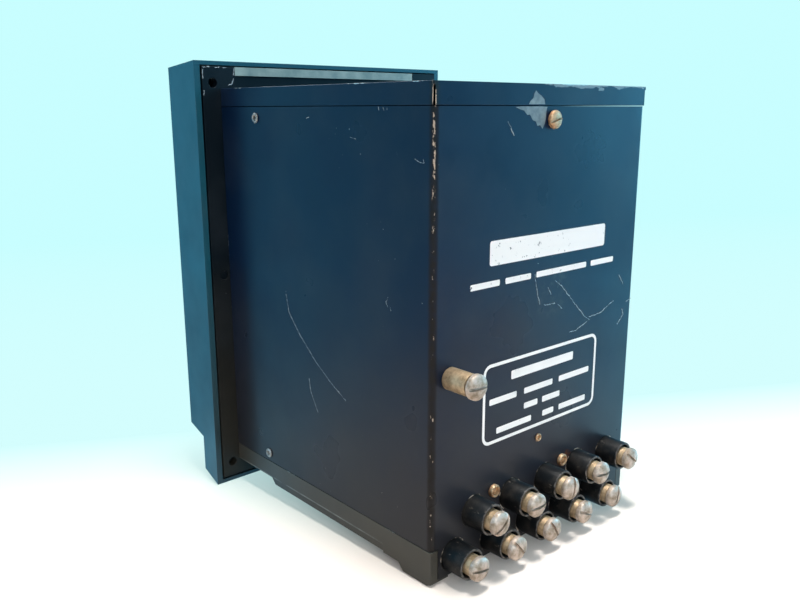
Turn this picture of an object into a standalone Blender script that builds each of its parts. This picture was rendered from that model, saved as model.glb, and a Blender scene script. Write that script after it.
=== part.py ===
"""Drawout protection relay in a small semi-flush steel case.

Metres, +Z up. The front, with its cover, faces -Y and the ten terminals stand
out towards +Y. The relay stands on the lower edge of its flange and cover, with
the two feet under the rear corners a few millimetres higher, as they are on the
real case, which is made to be fixed in a switchboard panel.
"""

import math

import bmesh
import bpy
from mathutils import Matrix, Vector

# Driving dimensions of the case
MM = 0.001
CASE_WIDTH = 141.0 * MM
CASE_DEPTH = 156.0 * MM
SHEET = 1.6 * MM
CORNER_RADIUS = 2.6 * MM
FOOT_LEVEL = 5.3 * MM
FOOT_HEIGHT = 1.8 * MM
RAIL_LEVEL = 8.6 * MM
PAN_LEVEL = 12.6 * MM
PAN_FLOOR = 2.0 * MM
SKIRT_HEIGHT = 9.0 * MM
WALL_HEIGHT = 183.7 * MM
CAP_SKIRT = 8.8 * MM
CAP_SLIT = 0.8 * MM
FOOT_LENGTH = 31.0 * MM
FOOT_WIDTH = 12.0 * MM
SOLE_LENGTH = 17.5 * MM
FOOT_WALL = 4.2 * MM
RAIL_WIDTH = 7.0 * MM
RAIL_INSET = 1.0 * MM
RAIL_START = 31.0 * MM

# Clearances
GAP = 0.3 * MM
RUNNING_GAP = 1.0 * MM

# Flange and cover
COVER_MARGIN = 13.7 * MM
COVER_HEADROOM = 13.5 * MM
COVER_DEPTH = 32.5 * MM
COVER_WALL = 3.2 * MM
COVER_DRAFT = 2.4 * MM
COVER_EDGE = 2.0 * MM
STEP_HEIGHT = 27.0 * MM
STEP_DEPTH = 16.5 * MM
STEP_FALL = 3.4 * MM
TOE_HEIGHT = 4.1 * MM
RIM_SETBACK = 0.8 * MM
FLANGE_THICKNESS = 5.0 * MM
FLANGE_FOOT_RISE = 1.2 * MM
FLANGE_HOLE = 5.0 * MM
FLANGE_HOLE_EDGE = 5.7 * MM
FLANGE_HOLE_INSET = 8.0 * MM
PAD_WIDTH = 18.5 * MM
PAD_HEIGHT = 16.0 * MM
PAD_RISE = 1.6 * MM
LUG_THICKNESS = 2.2 * MM
LUG_HEIGHT = 8.8 * MM
LUG_LENGTH = 40.0 * MM
RUNNER_LENGTH = 105.0 * MM
RUNNER_THICKNESS = 3.5 * MM
RUNNER_BEARING = 5.0 * MM
STRIP_HEIGHT = 4.2 * MM
STRIP_THICKNESS = 1.2 * MM
WINDOW_MARGIN = 15.0 * MM
WINDOW_SILL = 33.0 * MM
WINDOW_PANE = 2.0 * MM
WINDOW_REBATE = 3.0 * MM

# Terminals
TERMINAL_MARGIN = 43.0 * MM
TERMINALS_PER_ROW = 5
UPPER_ROW_Z = 32.5 * MM
LOWER_ROW_Z = 16.2 * MM
ROW_STAGGER = 12.4 * MM
ROW_INSET = 13.5 * MM
BARREL_RADIUS = 7.0 * MM
BARREL_LENGTH = 11.5 * MM
BARREL_BORE = 5.8 * MM
BARREL_FLOOR = 1.5 * MM
HOLE_CLEARANCE = 0.35 * MM
BLOCK_DEPTH = 13.0 * MM
BLOCK_TOP = 46.0 * MM
SLEEVE_RADIUS = 4.7 * MM
SLEEVE_REACH = 13.2 * MM
SPIGOT_RADIUS = 2.6 * MM
SPIGOT_LENGTH = 8.0 * MM
SCREW_BORE = 2.4 * MM
SCREW_SHANK = 2.1 * MM
SCREW_SHANK_LENGTH = 9.0 * MM
SCREW_HEAD_RADIUS = 5.4 * MM
SCREW_HEAD_HEIGHT = 4.4 * MM
SLOT_WIDTH = 1.3 * MM
SLOT_DEPTH = 1.6 * MM

# Ground post, rear screws and rivets
POST_INSET = 9.6 * MM
POST_Z = 97.4 * MM
POST_RADIUS = 4.8 * MM
POST_REACH = 13.0 * MM
POST_SPIGOT = 3.0 * MM
REAR_SCREW_DROP = 5.9 * MM
REAR_SCREW_TURN = 70
REAR_SCREW_RADIUS = 3.9 * MM
REAR_SCREW_HEIGHT = 2.6 * MM
REAR_SCREW_SHANK = 2.0 * MM
BLOCK_SCREW_Z = 38.2 * MM
BLOCK_SCREW_RADIUS = 3.2 * MM
BLOCK_SCREW_HEIGHT = 2.2 * MM
BLOCK_SCREW_SHANK = 1.6 * MM
BLOCK_SCREW_TURNS = (60, 90)
REAR_RIVET_X = 1.7 * MM
REAR_RIVET_Z = 54.8 * MM
RIVET_HEAD = 2.4 * MM
RIVET_SHANK = 1.5 * MM
RIVET_HEAD_HEIGHT = 0.8 * MM
RIVET_INSET = 32.5 * MM
RIVET_DROP = 5.5 * MM
RIVET_RISE = 4.8 * MM

# Drawout chassis and its front panel
OPENING_INSET = 6.0 * MM
OPENING_FOOT = 23.0 * MM
OPENING_DROP = 10.1 * MM
PANEL_FOOT = 56.0 * MM
PANEL_THICKNESS = 3.0 * MM
CHASSIS_SHEET = 1.5 * MM
CHASSIS_REAR_GAP = 22.0 * MM
CHASSIS_LIP = 12.0 * MM
DIAL_RADIUS = 11.0 * MM
DIAL_HEIGHT = 10.0 * MM
DIAL_SHAFT = 3.0 * MM
DIAL_SKIRT = 2.5 * MM
POINTER_WIDTH = 1.4 * MM
POINTER_RISE = 0.8 * MM
DIAL_SPREAD = 36.0 * MM
DIAL_RISE = 20.5 * MM
BOARD_THICKNESS = 1.6 * MM
BOARD_OFFSET = 14.0 * MM
POT_SIZE = 16.0 * MM
POT_DEPTH = 7.0 * MM
BRACKET_WIDTH = 6.0 * MM
BRACKET_DROP = 8.0 * MM
MAIN_BOARD_X = -44.0 * MM
BOARD_SPACING = 3.0 * MM
COMPONENT_PLACES = (
    (0.24, 65 * MM, 9 * MM),
    (0.42, 97 * MM, 14 * MM),
    (0.63, 75 * MM, 7 * MM),
    (0.72, 123 * MM, 16 * MM),
    (0.31, 127 * MM, 11 * MM),
)
LARGE_PARTS_X = -6.0 * MM
TRANSFORMER_WIDTH = 44.0 * MM
TRANSFORMER_HEIGHT = 46.0 * MM
TRANSFORMER_SHARE = 0.28
TRANSFORMER_REAR_GAP = 12.0 * MM
WINDING_INSET = 8.0 * MM
OUTPUT_RELAY_WIDTH = 24.0 * MM
OUTPUT_RELAY_HEIGHT = 40.0 * MM
OUTPUT_RELAY_SHARE = 0.22
OUTPUT_RELAY_GAP = 6.0 * MM
PLUG_MARGIN = 6.5 * MM
PLUG_END = 8.5 * MM
PLUG_HEIGHT = 20.0 * MM
PLUG_DEPTH = 15.0 * MM
PLUG_GRIP = 8.0 * MM
BLADE_COUNT = 10
BLADE_THICKNESS = 1.2 * MM
BLADE_WIDTH = 8.0 * MM
BLADE_LENGTH = 14.0 * MM
CONTACT_BLOCK_DEPTH = 20.0 * MM
CONTACT_BLOCK_HEIGHT = 26.0 * MM

# Cover fittings
NUT_RADIUS = 6.0 * MM
NUT_HEIGHT = 9.0 * MM
NUT_FLUTES = 12
FLUTE_RADIUS = 0.8 * MM
FLUTE_FACETS = 6
NUT_HUB = 3.4 * MM
NUT_INSET = 8.2 * MM
NUT_RISE = 4.2 * MM
STUD_RADIUS = 2.2 * MM
STUD_COLLAR = 2.0 * MM
NUT_BORE = 2.6 * MM
RESET_RADIUS = 4.0 * MM
RESET_REACH = 7.0 * MM
RESET_SHOULDER = 5.4 * MM
RESET_Z = 15.0 * MM

# Facets of round forms
FINE = 20
MEDIUM = 16
COARSE = 12

# Levels and faces worked out from the driving dimensions
SEAM_LEVEL = PAN_LEVEL + SKIRT_HEIGHT
CAP_LEVEL = SEAM_LEVEL + WALL_HEIGHT
CASE_TOP = CAP_LEVEL + CAP_SKIRT
TONGUE_LEVEL = FOOT_LEVEL + FOOT_HEIGHT + GAP
TERMINAL_REACH = SLEEVE_REACH + GAP + SCREW_HEAD_HEIGHT
FRONT_REACH = CASE_DEPTH + RIM_SETBACK + COVER_DEPTH + NUT_HEIGHT
REAR_Y = (FRONT_REACH - TERMINAL_REACH) / 2
PANEL_Y = REAR_Y - CASE_DEPTH
RIM_Y = PANEL_Y - RIM_SETBACK
COVER_FRONT_Y = RIM_Y - COVER_DEPTH
STEP_Y = COVER_FRONT_Y + STEP_DEPTH
FLANGE_FRONT_Y = PANEL_Y - FLANGE_THICKNESS
HALF_CASE = CASE_WIDTH / 2
INNER_HALF = HALF_CASE - SHEET
COVER_WIDTH = CASE_WIDTH + 2 * COVER_MARGIN
COVER_HEIGHT = CASE_TOP + COVER_HEADROOM
TERMINAL_PITCH = (CASE_WIDTH - TERMINAL_MARGIN) / (TERMINALS_PER_ROW - 1)
LOWER_ROW_X = HALF_CASE - ROW_INSET
UPPER_ROW_X = LOWER_ROW_X - ROW_STAGGER
POST_X = HALF_CASE - POST_INSET
REAR_SCREW_Z = CAP_LEVEL - REAR_SCREW_DROP
RIVET_HIGH_Z = CAP_LEVEL - RIVET_DROP
RIVET_LOW_Z = SEAM_LEVEL + RIVET_RISE
FLANGE_DRAFT = COVER_DRAFT * (FLANGE_THICKNESS + MM) / COVER_DEPTH
FLANGE_HALF = COVER_WIDTH / 2 - COVER_WALL - GAP - FLANGE_DRAFT
FLANGE_HOLE_X = FLANGE_HALF - FLANGE_HOLE_EDGE
FLANGE_FOOT = COVER_EDGE + GAP + FLANGE_FOOT_RISE
FLANGE_HEAD = COVER_HEIGHT - COVER_EDGE - GAP - FLANGE_DRAFT
INNER_REAR_Y = REAR_Y - SHEET
BLOCK_REAR_Y = INNER_REAR_Y - GAP
BLOCK_FRONT_Y = BLOCK_REAR_Y - BLOCK_DEPTH
OPENING_HALF_WIDTH = HALF_CASE - OPENING_INSET
OPENING_HEAD = CASE_TOP - OPENING_DROP
CHASSIS_HALF = OPENING_HALF_WIDTH - RUNNING_GAP
CHASSIS_HEAD = OPENING_HEAD - RUNNING_GAP
CHASSIS_REAR_Y = REAR_Y - CHASSIS_REAR_GAP
CHASSIS_FRONT_Y = FLANGE_FRONT_Y + PANEL_THICKNESS
CHASSIS_DEPTH = CHASSIS_REAR_Y - CHASSIS_FRONT_Y
DIAL_Z = (PANEL_FOOT + CHASSIS_HEAD) / 2 + DIAL_RISE
PLUG_WIDTH = 2 * (OPENING_HALF_WIDTH - PLUG_MARGIN)
BLADE_PITCH = (PLUG_WIDTH - 2 * PLUG_END) / (BLADE_COUNT - 1)
NUT_Z = COVER_HEIGHT / 2 + NUT_RISE
NUT_X = COVER_WIDTH / 2 - COVER_DRAFT - NUT_INSET


def clear_scene():
    """Start from an empty scene."""
    for item in list(bpy.data.objects):
        bpy.data.objects.remove(item, do_unlink=True)


def make_material(name, colour, roughness, metallic=0.0, alpha=1.0):
    """Make a Principled material of one colour."""
    material = bpy.data.materials.new(name)
    material.use_nodes = True
    shader = material.node_tree.nodes["Principled BSDF"]
    shader.inputs["Base Color"].default_value = (*colour, 1.0)
    shader.inputs["Roughness"].default_value = roughness
    shader.inputs["Metallic"].default_value = metallic
    shader.inputs["Alpha"].default_value = alpha
    return material


def finish_object(name, mesh_data, material, smooth=False):
    """Turn a bmesh into a linked object with its material."""
    bmesh.ops.recalc_face_normals(mesh_data, faces=mesh_data.faces)
    mesh = bpy.data.meshes.new(name)
    mesh_data.to_mesh(mesh)
    mesh_data.free()
    if smooth:
        mesh.shade_smooth()
        mesh.set_sharp_from_angle(angle=math.radians(35))
    item = bpy.data.objects.new(name, mesh)
    bpy.context.scene.collection.objects.link(item)
    if material is not None:
        mesh.materials.append(material)
    return item


def add_block(mesh_data, low, high):
    """Add a box between two corners to a bmesh and return its vertices."""
    made = bmesh.ops.create_cube(mesh_data, size=1.0)["verts"]
    for vert in made:
        for axis in range(3):
            middle = (low[axis] + high[axis]) / 2
            vert.co[axis] = middle + vert.co[axis] * (high[axis] - low[axis])
    return made


def block(name, low, high, material, bevel=0.0):
    """Make a box between two corners, with its edges broken if asked."""
    mesh_data = bmesh.new()
    add_block(mesh_data, low, high)
    if bevel > 0:
        bmesh.ops.bevel(
            mesh_data,
            geom=mesh_data.edges[:],
            offset=bevel,
            segments=1,
            affect="EDGES",
        )
    return finish_object(name, mesh_data, material)


def prism(name, outline, axis, start, stop, material):
    """Extrude a closed outline along one axis.

    The outline's two numbers are the other two axes in X, Y, Z order.
    """
    mesh_data = bmesh.new()
    verts = []
    for first, second in outline:
        place = [first, second]
        place.insert(axis, start)
        verts.append(mesh_data.verts.new(place))
    face = mesh_data.faces.new(verts)
    moved = bmesh.ops.extrude_face_region(mesh_data, geom=[face])["geom"]
    shift = Vector((0.0, 0.0, 0.0))
    shift[axis] = stop - start
    for item in moved:
        if isinstance(item, bmesh.types.BMVert):
            item.co += shift
    return finish_object(name, mesh_data, material)


def turned(name, profile, facets, material, place, direction="Y"):
    """Turn a profile of (distance along, radius) pairs about an axis.

    The axis passes through place, and the profile runs along +Y or +X.
    """
    mesh_data = bmesh.new()
    verts = [mesh_data.verts.new((radius, along, 0.0)) for along, radius in profile]
    for first, second in zip(verts, verts[1:]):
        mesh_data.edges.new((first, second))
    bmesh.ops.spin(
        mesh_data,
        geom=mesh_data.verts[:] + mesh_data.edges[:],
        axis=(0.0, 1.0, 0.0),
        cent=(0.0, 0.0, 0.0),
        angle=2 * math.pi,
        steps=facets,
        use_merge=True,
    )
    bmesh.ops.remove_doubles(mesh_data, verts=mesh_data.verts, dist=0.00001)
    if direction == "X":
        bmesh.ops.rotate(
            mesh_data,
            verts=mesh_data.verts,
            cent=(0.0, 0.0, 0.0),
            matrix=Matrix.Rotation(-math.pi / 2, 3, "Z"),
        )
    item = finish_object(name, mesh_data, material, smooth=True)
    item.location = place
    return item


def rod(name, radius, start, stop, x, z, facets=COARSE):
    """Make a plain round rod along Y, used as a cutter."""
    profile = [(start, 0.0), (start, radius), (stop, radius), (stop, 0.0)]
    return turned(name, profile, facets, None, (x, 0.0, z))


def as_cutter(item):
    """Hide a cutter from the build."""
    item.hide_render = True
    item.display_type = "WIRE"


def combine(target, tool, operation):
    """Cut or join one object with another by a Boolean modifier."""
    modifier = target.modifiers.new(tool.name, "BOOLEAN")
    modifier.operation = operation
    modifier.solver = "EXACT"
    modifier.object = tool
    as_cutter(tool)


def cut(target, tool):
    """Cut the tool's shape out of the target."""
    combine(target, tool, "DIFFERENCE")


def join(target, tool):
    """Join the tool's shape to the target."""
    combine(target, tool, "UNION")


def carry(parent, *children):
    """Parent objects to a carrier without moving them."""
    for child in children:
        child.parent = parent
        child.matrix_parent_inverse = parent.matrix_world.inverted()


def empty(name, place):
    """Make an empty that marks a joint's axis."""
    item = bpy.data.objects.new(name, None)
    item.location = place
    bpy.context.scene.collection.objects.link(item)
    bpy.context.view_layer.update()
    return item


def terminal_places():
    """List the terminals' X and Z, upper row first, from the near side."""
    places = []
    for first_x, z in ((UPPER_ROW_X, UPPER_ROW_Z), (LOWER_ROW_X, LOWER_ROW_Z)):
        for index in range(TERMINALS_PER_ROW):
            places.append((first_x - index * TERMINAL_PITCH, z))
    return places


def block_screw_places():
    """The two block screws stand midway between upper terminals."""
    first = UPPER_ROW_X - TERMINAL_PITCH / 2
    return [(first, BLOCK_SCREW_Z), (first - 2 * TERMINAL_PITCH, BLOCK_SCREW_Z)]


def corner_arc(x, y, radius, start, stop, steps=4):
    """Points of a quarter round in plan."""
    points = []
    for step in range(steps + 1):
        angle = math.radians(start + (stop - start) * step / steps)
        points.append((x + radius * math.cos(angle), y + radius * math.sin(angle)))
    return points


def wrap_outline(half, rear, front, thickness, radius):
    """Plan of a sheet folded round the left side, the back and the right side."""
    outer = [(half, front)]
    outer += corner_arc(half - radius, rear - radius, radius, 0, 90)
    outer += corner_arc(radius - half, rear - radius, radius, 90, 180)
    outer.append((-half, front))
    inner_radius = radius - thickness
    inner = [(thickness - half, front)]
    inner += corner_arc(radius - half, rear - radius, inner_radius, 180, 90)
    inner += corner_arc(half - radius, rear - radius, inner_radius, 90, 0)
    inner.append((half - thickness, front))
    return outer + inner


def build_case_shell(paint):
    """The sides and back: one sheet folded round the rear corners."""
    outline = wrap_outline(HALF_CASE, REAR_Y, PANEL_Y + GAP, SHEET, CORNER_RADIUS)
    shell = prism("case_shell", outline, 2, TONGUE_LEVEL, CAP_LEVEL - GAP, paint)
    notch = SEAM_LEVEL + GAP
    side_cut_x = HALF_CASE - FOOT_WALL - GAP
    for side in (-1, 1):
        edges = sorted((side * side_cut_x, side * (HALF_CASE + SHEET)))
        low = (edges[0], PANEL_Y - SHEET, TONGUE_LEVEL - SHEET)
        high = (edges[1], REAR_Y + SHEET, notch)
        cut(shell, block("shell_side_cut", low, high, None))
    start = INNER_REAR_Y - SHEET
    stop = REAR_Y + SHEET
    for x, z in terminal_places():
        radius = BARREL_RADIUS + HOLE_CLEARANCE
        cut(shell, rod("shell_terminal_hole", radius, start, stop, x, z, FINE))
    for x, z in block_screw_places():
        radius = BLOCK_SCREW_SHANK + GAP
        cut(shell, rod("shell_block_screw_hole", radius, start, stop, x, z))
    cut(shell, rod("shell_post_hole", POST_SPIGOT + GAP, start, stop, POST_X, POST_Z))
    radius = REAR_SCREW_SHANK + GAP
    cut(shell, rod("shell_rear_screw_hole", radius, start, stop, 0.0, REAR_SCREW_Z))
    radius = RIVET_SHANK + GAP
    cut(shell, rod("shell_rivet_hole", radius, start, stop, REAR_RIVET_X, REAR_RIVET_Z))
    for side, z in side_rivet_places():
        name = "shell_side_rivet_hole"
        cut(shell, side_rivet_hole(name, side, z, INNER_HALF - SHEET, HALF_CASE + SHEET))
    return shell


def side_rivet_places():
    """Side and level of the four rivets through the case into the flange lugs."""
    return [(side, z) for side in (1, -1) for z in (RIVET_HIGH_Z, RIVET_LOW_Z)]


def side_rivet_hole(name, side, z, inner, outer):
    """Cutter for one side rivet's hole."""
    radius = RIVET_SHANK + GAP
    low, high = sorted((side * inner, side * outer))
    profile = [(low, 0.0), (low, radius), (high, radius), (high, 0.0)]
    return turned(name, profile, COARSE, None, (0.0, PANEL_Y + RIVET_INSET, z), "X")


def build_top_cap(paint):
    """The lid: a flat top with skirts folded down, open at its rear corners."""
    front = PANEL_Y + GAP
    low = (-HALF_CASE, front, CASE_TOP - SHEET)
    high = (HALF_CASE, REAR_Y, CASE_TOP)
    cap = block("top_cap", low, high, paint)
    for side in (-1, 1):
        edges = sorted((side * INNER_HALF, side * HALF_CASE))
        low = (edges[0], front, CAP_LEVEL)
        high = (edges[1], REAR_Y, CASE_TOP - SHEET / 2)
        join(cap, block("cap_side_skirt", low, high, None))
    low = (-INNER_HALF - SHEET / 2, INNER_REAR_Y, CAP_LEVEL)
    high = (INNER_HALF + SHEET / 2, REAR_Y, CASE_TOP - SHEET / 2)
    join(cap, block("cap_rear_skirt", low, high, None))
    for side in (-1, 1):
        low = (-CAP_SLIT / 2, -3 * SHEET, CAP_LEVEL - MM)
        high = (CAP_SLIT / 2, 3 * SHEET, CASE_TOP - SHEET)
        slit = block("cap_corner_slit", low, high, None)
        slit.location = (side * HALF_CASE, REAR_Y, 0.0)
        slit.rotation_euler = (0.0, 0.0, -side * math.pi / 4)
        cut(cap, slit)
    tab_half = REAR_SCREW_RADIUS * 2
    tab_rear = INNER_REAR_Y - GAP
    low = (-tab_half, tab_rear - SHEET, REAR_SCREW_Z - tab_half)
    high = (tab_half, tab_rear, CASE_TOP - SHEET / 2)
    join(cap, block("cap_tab", low, high, None))
    low = (-tab_half, tab_rear - SHEET, CAP_LEVEL + SHEET)
    high = (tab_half, INNER_REAR_Y + SHEET / 2, CASE_TOP - SHEET / 2)
    join(cap, block("cap_tab_root", low, high, None))
    start = tab_rear - 2 * SHEET
    radius = REAR_SCREW_SHANK + GAP
    cut(cap, rod("cap_screw_hole", radius, start, INNER_REAR_Y, 0.0, REAR_SCREW_Z))
    return cap


def build_bottom_pan(plastic):
    """The base moulding: floor, side skirts, rails under them and rear feet."""
    front = PANEL_Y + GAP
    floor_rear = BLOCK_FRONT_Y - GAP
    low = (-HALF_CASE, front, PAN_LEVEL)
    high = (HALF_CASE, floor_rear, PAN_LEVEL + PAN_FLOOR)
    pan = block("bottom_pan", low, high, plastic)
    for side in (-1, 1):
        edges = sorted((side * (HALF_CASE - FOOT_WALL), side * HALF_CASE))
        low = (edges[0], front, PAN_LEVEL)
        high = (edges[1], REAR_Y - FOOT_LENGTH / 2, SEAM_LEVEL)
        join(pan, block("pan_skirt", low, high, None))
        outer = side * (HALF_CASE - RAIL_INSET)
        edges = sorted((outer - side * RAIL_WIDTH, outer))
        rail = [
            (front + RAIL_START, PAN_LEVEL + PAN_FLOOR / 2),
            (front + RAIL_START, PAN_LEVEL),
            (front + RAIL_START + (PAN_LEVEL - RAIL_LEVEL), RAIL_LEVEL),
            (REAR_Y - FOOT_LENGTH / 2, RAIL_LEVEL),
            (REAR_Y - FOOT_LENGTH / 2, PAN_LEVEL + PAN_FLOOR / 2),
        ]
        join(pan, prism("pan_rail", rail, 0, edges[0], edges[1], None))
        join(pan, foot_wall(side))
        join(pan, foot_sole(side))
    return pan


def foot_wall(side):
    """The outer wall of a rear foot, flush with the case side."""
    drop = RAIL_LEVEL - FOOT_LEVEL
    outline = [
        (REAR_Y - FOOT_LENGTH, SEAM_LEVEL),
        (REAR_Y - FOOT_LENGTH, RAIL_LEVEL),
        (REAR_Y - SOLE_LENGTH - drop, RAIL_LEVEL),
        (REAR_Y - SOLE_LENGTH, FOOT_LEVEL),
        (REAR_Y - CORNER_RADIUS, FOOT_LEVEL),
        (REAR_Y, FOOT_LEVEL + CORNER_RADIUS / 2),
        (REAR_Y, SEAM_LEVEL),
    ]
    edges = sorted((side * (HALF_CASE - FOOT_WALL), side * HALF_CASE))
    return prism("foot_wall", outline, 0, edges[0], edges[1], None)


def foot_sole(side):
    """The sole of a rear foot, which runs in under the terminal block."""
    front = REAR_Y - SOLE_LENGTH
    edges = sorted((side * (HALF_CASE - FOOT_WIDTH), side * (HALF_CASE - FOOT_WALL / 2)))
    low = (edges[0], front, FOOT_LEVEL)
    high = (edges[1], REAR_Y - CORNER_RADIUS / 2, FOOT_LEVEL + FOOT_HEIGHT)
    return block("foot_sole", low, high, None)


def build_flange(casting):
    """The flange: a cast frame with corner pads, rearward lugs and two runners."""
    low = (-FLANGE_HALF, FLANGE_FRONT_Y, FLANGE_FOOT)
    high = (FLANGE_HALF, PANEL_Y - PAD_RISE, FLANGE_HEAD)
    flange = block("mounting_flange", low, high, casting)
    middle = (FLANGE_FRONT_Y + PANEL_Y - PAD_RISE) / 2
    pad_foot = FLANGE_HEAD - PAD_HEIGHT
    for side in (-1, 1):
        edges = sorted((side * (FLANGE_HALF - PAD_WIDTH), side * FLANGE_HALF))
        low = (edges[0], middle, pad_foot)
        high = (edges[1], PANEL_Y, FLANGE_HEAD)
        join(flange, block("flange_top_pad", low, high, None))
    low = (-FLANGE_HALF, middle, FLANGE_FOOT)
    high = (FLANGE_HALF, PANEL_Y, pad_foot + PAD_HEIGHT / 2)
    frame = block("flange_face", low, high, None)
    recess_half = FLANGE_HALF - PAD_WIDTH
    low = (-recess_half, middle - MM, CASE_TOP)
    high = (recess_half, PANEL_Y + MM, FLANGE_HEAD + MM)
    cut(frame, block("flange_recess", low, high, None))
    join(flange, frame)
    low = (-OPENING_HALF_WIDTH, FLANGE_FRONT_Y - MM, OPENING_FOOT)
    high = (OPENING_HALF_WIDTH, PANEL_Y + MM, OPENING_HEAD)
    cut(flange, block("flange_opening", low, high, None))
    for side, z in side_rivet_places():
        outer = side * (INNER_HALF - GAP)
        edges = sorted((outer - side * LUG_THICKNESS, outer))
        low = (edges[0], middle, z - LUG_HEIGHT / 2)
        high = (edges[1], PANEL_Y + LUG_LENGTH, z + LUG_HEIGHT / 2)
        lug = block("flange_lug", low, high, None)
        inner = INNER_HALF - 2 * LUG_THICKNESS
        cut(lug, side_rivet_hole("lug_rivet_hole", side, z, inner, HALF_CASE))
        join(flange, lug)
    for side in (-1, 1):
        inner = side * (CHASSIS_HALF - RUNNER_BEARING)
        edges = sorted((inner, side * (INNER_HALF - GAP)))
        runner_top = PANEL_FOOT - GAP
        low = (edges[0], PANEL_Y - PAD_RISE, runner_top - RUNNER_THICKNESS)
        high = (edges[1], PANEL_Y + RUNNER_LENGTH, runner_top)
        join(flange, block("flange_runner", low, high, None))
    for side in (-1, 1):
        for z in (FLANGE_HEAD - FLANGE_HOLE_INSET, FLANGE_FOOT + FLANGE_HOLE_INSET):
            start = FLANGE_FRONT_Y - MM
            x = side * FLANGE_HOLE_X
            radius = FLANGE_HOLE / 2
            cut(flange, rod("flange_hole", radius, start, PANEL_Y + MM, x, z))
        start = FLANGE_FRONT_Y - MM
        radius = STUD_RADIUS + GAP
        x = side * NUT_X
        cut(flange, rod("flange_stud_hole", radius, start, PANEL_Y + MM, x, NUT_Z))
    return flange


def build_seal_strip(felt):
    """The pale sealing strip in the recess between the two upper pads."""
    half = FLANGE_HALF - PAD_WIDTH - GAP
    rear = PANEL_Y - PAD_RISE + GAP + STRIP_THICKNESS
    low = (-half, rear - STRIP_THICKNESS, FLANGE_HEAD - STRIP_HEIGHT)
    high = (half, rear, FLANGE_HEAD)
    return block("seal_strip", low, high, felt)


def build_terminal_block(moulding):
    """The terminal block: a moulded bar with ten barrels through the back."""
    half = HALF_CASE - FOOT_WALL - GAP
    low = (-half, BLOCK_FRONT_Y, TONGUE_LEVEL)
    high = (half, BLOCK_REAR_Y, BLOCK_TOP)
    bar = block("terminal_block", low, high, moulding, bevel=0.5 * MM)
    mouth = REAR_Y + BARREL_LENGTH
    root = BLOCK_REAR_Y - MM
    lip = 0.4 * MM
    for x, z in terminal_places():
        profile = [
            (root, 0.0),
            (root, BARREL_RADIUS),
            (mouth - lip, BARREL_RADIUS),
            (mouth, BARREL_RADIUS - lip),
            (mouth, 0.0),
        ]
        join(bar, turned("barrel", profile, FINE, None, (x, 0.0, z)))
    floor = REAR_Y + BARREL_FLOOR
    spigot = SPIGOT_RADIUS + GAP
    foot = floor - SPIGOT_LENGTH - 2 * GAP
    for x, z in terminal_places():
        profile = [
            (foot, 0.0),
            (foot, spigot),
            (floor, spigot),
            (floor, BARREL_BORE),
            (mouth + MM, BARREL_BORE),
            (mouth + MM, 0.0),
        ]
        cut(bar, turned("barrel_bore", profile, MEDIUM, None, (x, 0.0, z)))
    for x, z in block_screw_places():
        radius = BLOCK_SCREW_SHANK + GAP
        start = BLOCK_REAR_Y - BLOCK_DEPTH / 2
        cut(bar, rod("block_screw_bore", radius, start, BLOCK_REAR_Y + MM, x, z))
    return bar


def screw_profile(seat, head_radius, head_height, shank_radius, shank_length):
    """Profile of a round-head screw: shank tip, shank, seat, domed head."""
    side = head_height * 0.45
    profile = [
        (seat - shank_length, 0.0),
        (seat - shank_length, shank_radius),
        (seat, shank_radius),
        (seat, head_radius),
        (seat + side, head_radius),
    ]
    steps = 3
    for step in range(1, steps):
        angle = math.radians(75) * step / steps
        rise = (head_height - side) * math.sin(angle) / math.sin(math.radians(75))
        profile.append((seat + side + rise, head_radius * math.cos(angle)))
    profile.append((seat + head_height, head_radius * 0.35))
    profile.append((seat + head_height, 0.0))
    return profile


def slotted_screw(name, x, z, seat, head, shank, metal, turn, facets=MEDIUM):
    """A round-head screw along +Y with its slot turned by some degrees."""
    head_radius, head_height = head
    profile = screw_profile(seat, head_radius, head_height, *shank)
    screw = turned(name, profile, facets, metal, (x, 0.0, z))
    top = seat + head_height
    reach = head_radius + MM
    low = (-reach, top - SLOT_DEPTH, -SLOT_WIDTH / 2)
    high = (reach, top + MM, SLOT_WIDTH / 2)
    slot = block(name + "_slot", low, high, None)
    slot.location = (x, 0.0, z)
    slot.rotation_euler = (0.0, math.radians(turn), 0.0)
    cut(screw, slot)
    return screw


def build_terminals(metal):
    """A metal sleeve and a slotted screw in each barrel."""
    sleeves = []
    screws = []
    floor = REAR_Y + BARREL_FLOOR + GAP
    mouth = REAR_Y + SLEEVE_REACH
    bore_foot = mouth - SCREW_SHANK_LENGTH - 2 * GAP
    profile = [
        (floor - SPIGOT_LENGTH, 0.0),
        (floor - SPIGOT_LENGTH, SPIGOT_RADIUS),
        (floor, SPIGOT_RADIUS),
        (floor, SLEEVE_RADIUS),
        (mouth, SLEEVE_RADIUS),
        (mouth, SCREW_BORE),
        (bore_foot, SCREW_BORE),
        (bore_foot, 0.0),
    ]
    head = (SCREW_HEAD_RADIUS, SCREW_HEAD_HEIGHT)
    shank = (SCREW_SHANK, SCREW_SHANK_LENGTH)
    for index, (x, z) in enumerate(terminal_places()):
        name = f"terminal_sleeve_{index + 1:02d}"
        sleeves.append(turned(name, profile, MEDIUM, metal, (x, 0.0, z)))
        name = f"terminal_screw_{index + 1:02d}"
        turn = (index * 47) % 180 - 20
        screw = slotted_screw(name, x, z, mouth + GAP, head, shank, metal, turn)
        screws.append(screw)
    return sleeves, screws


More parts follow.
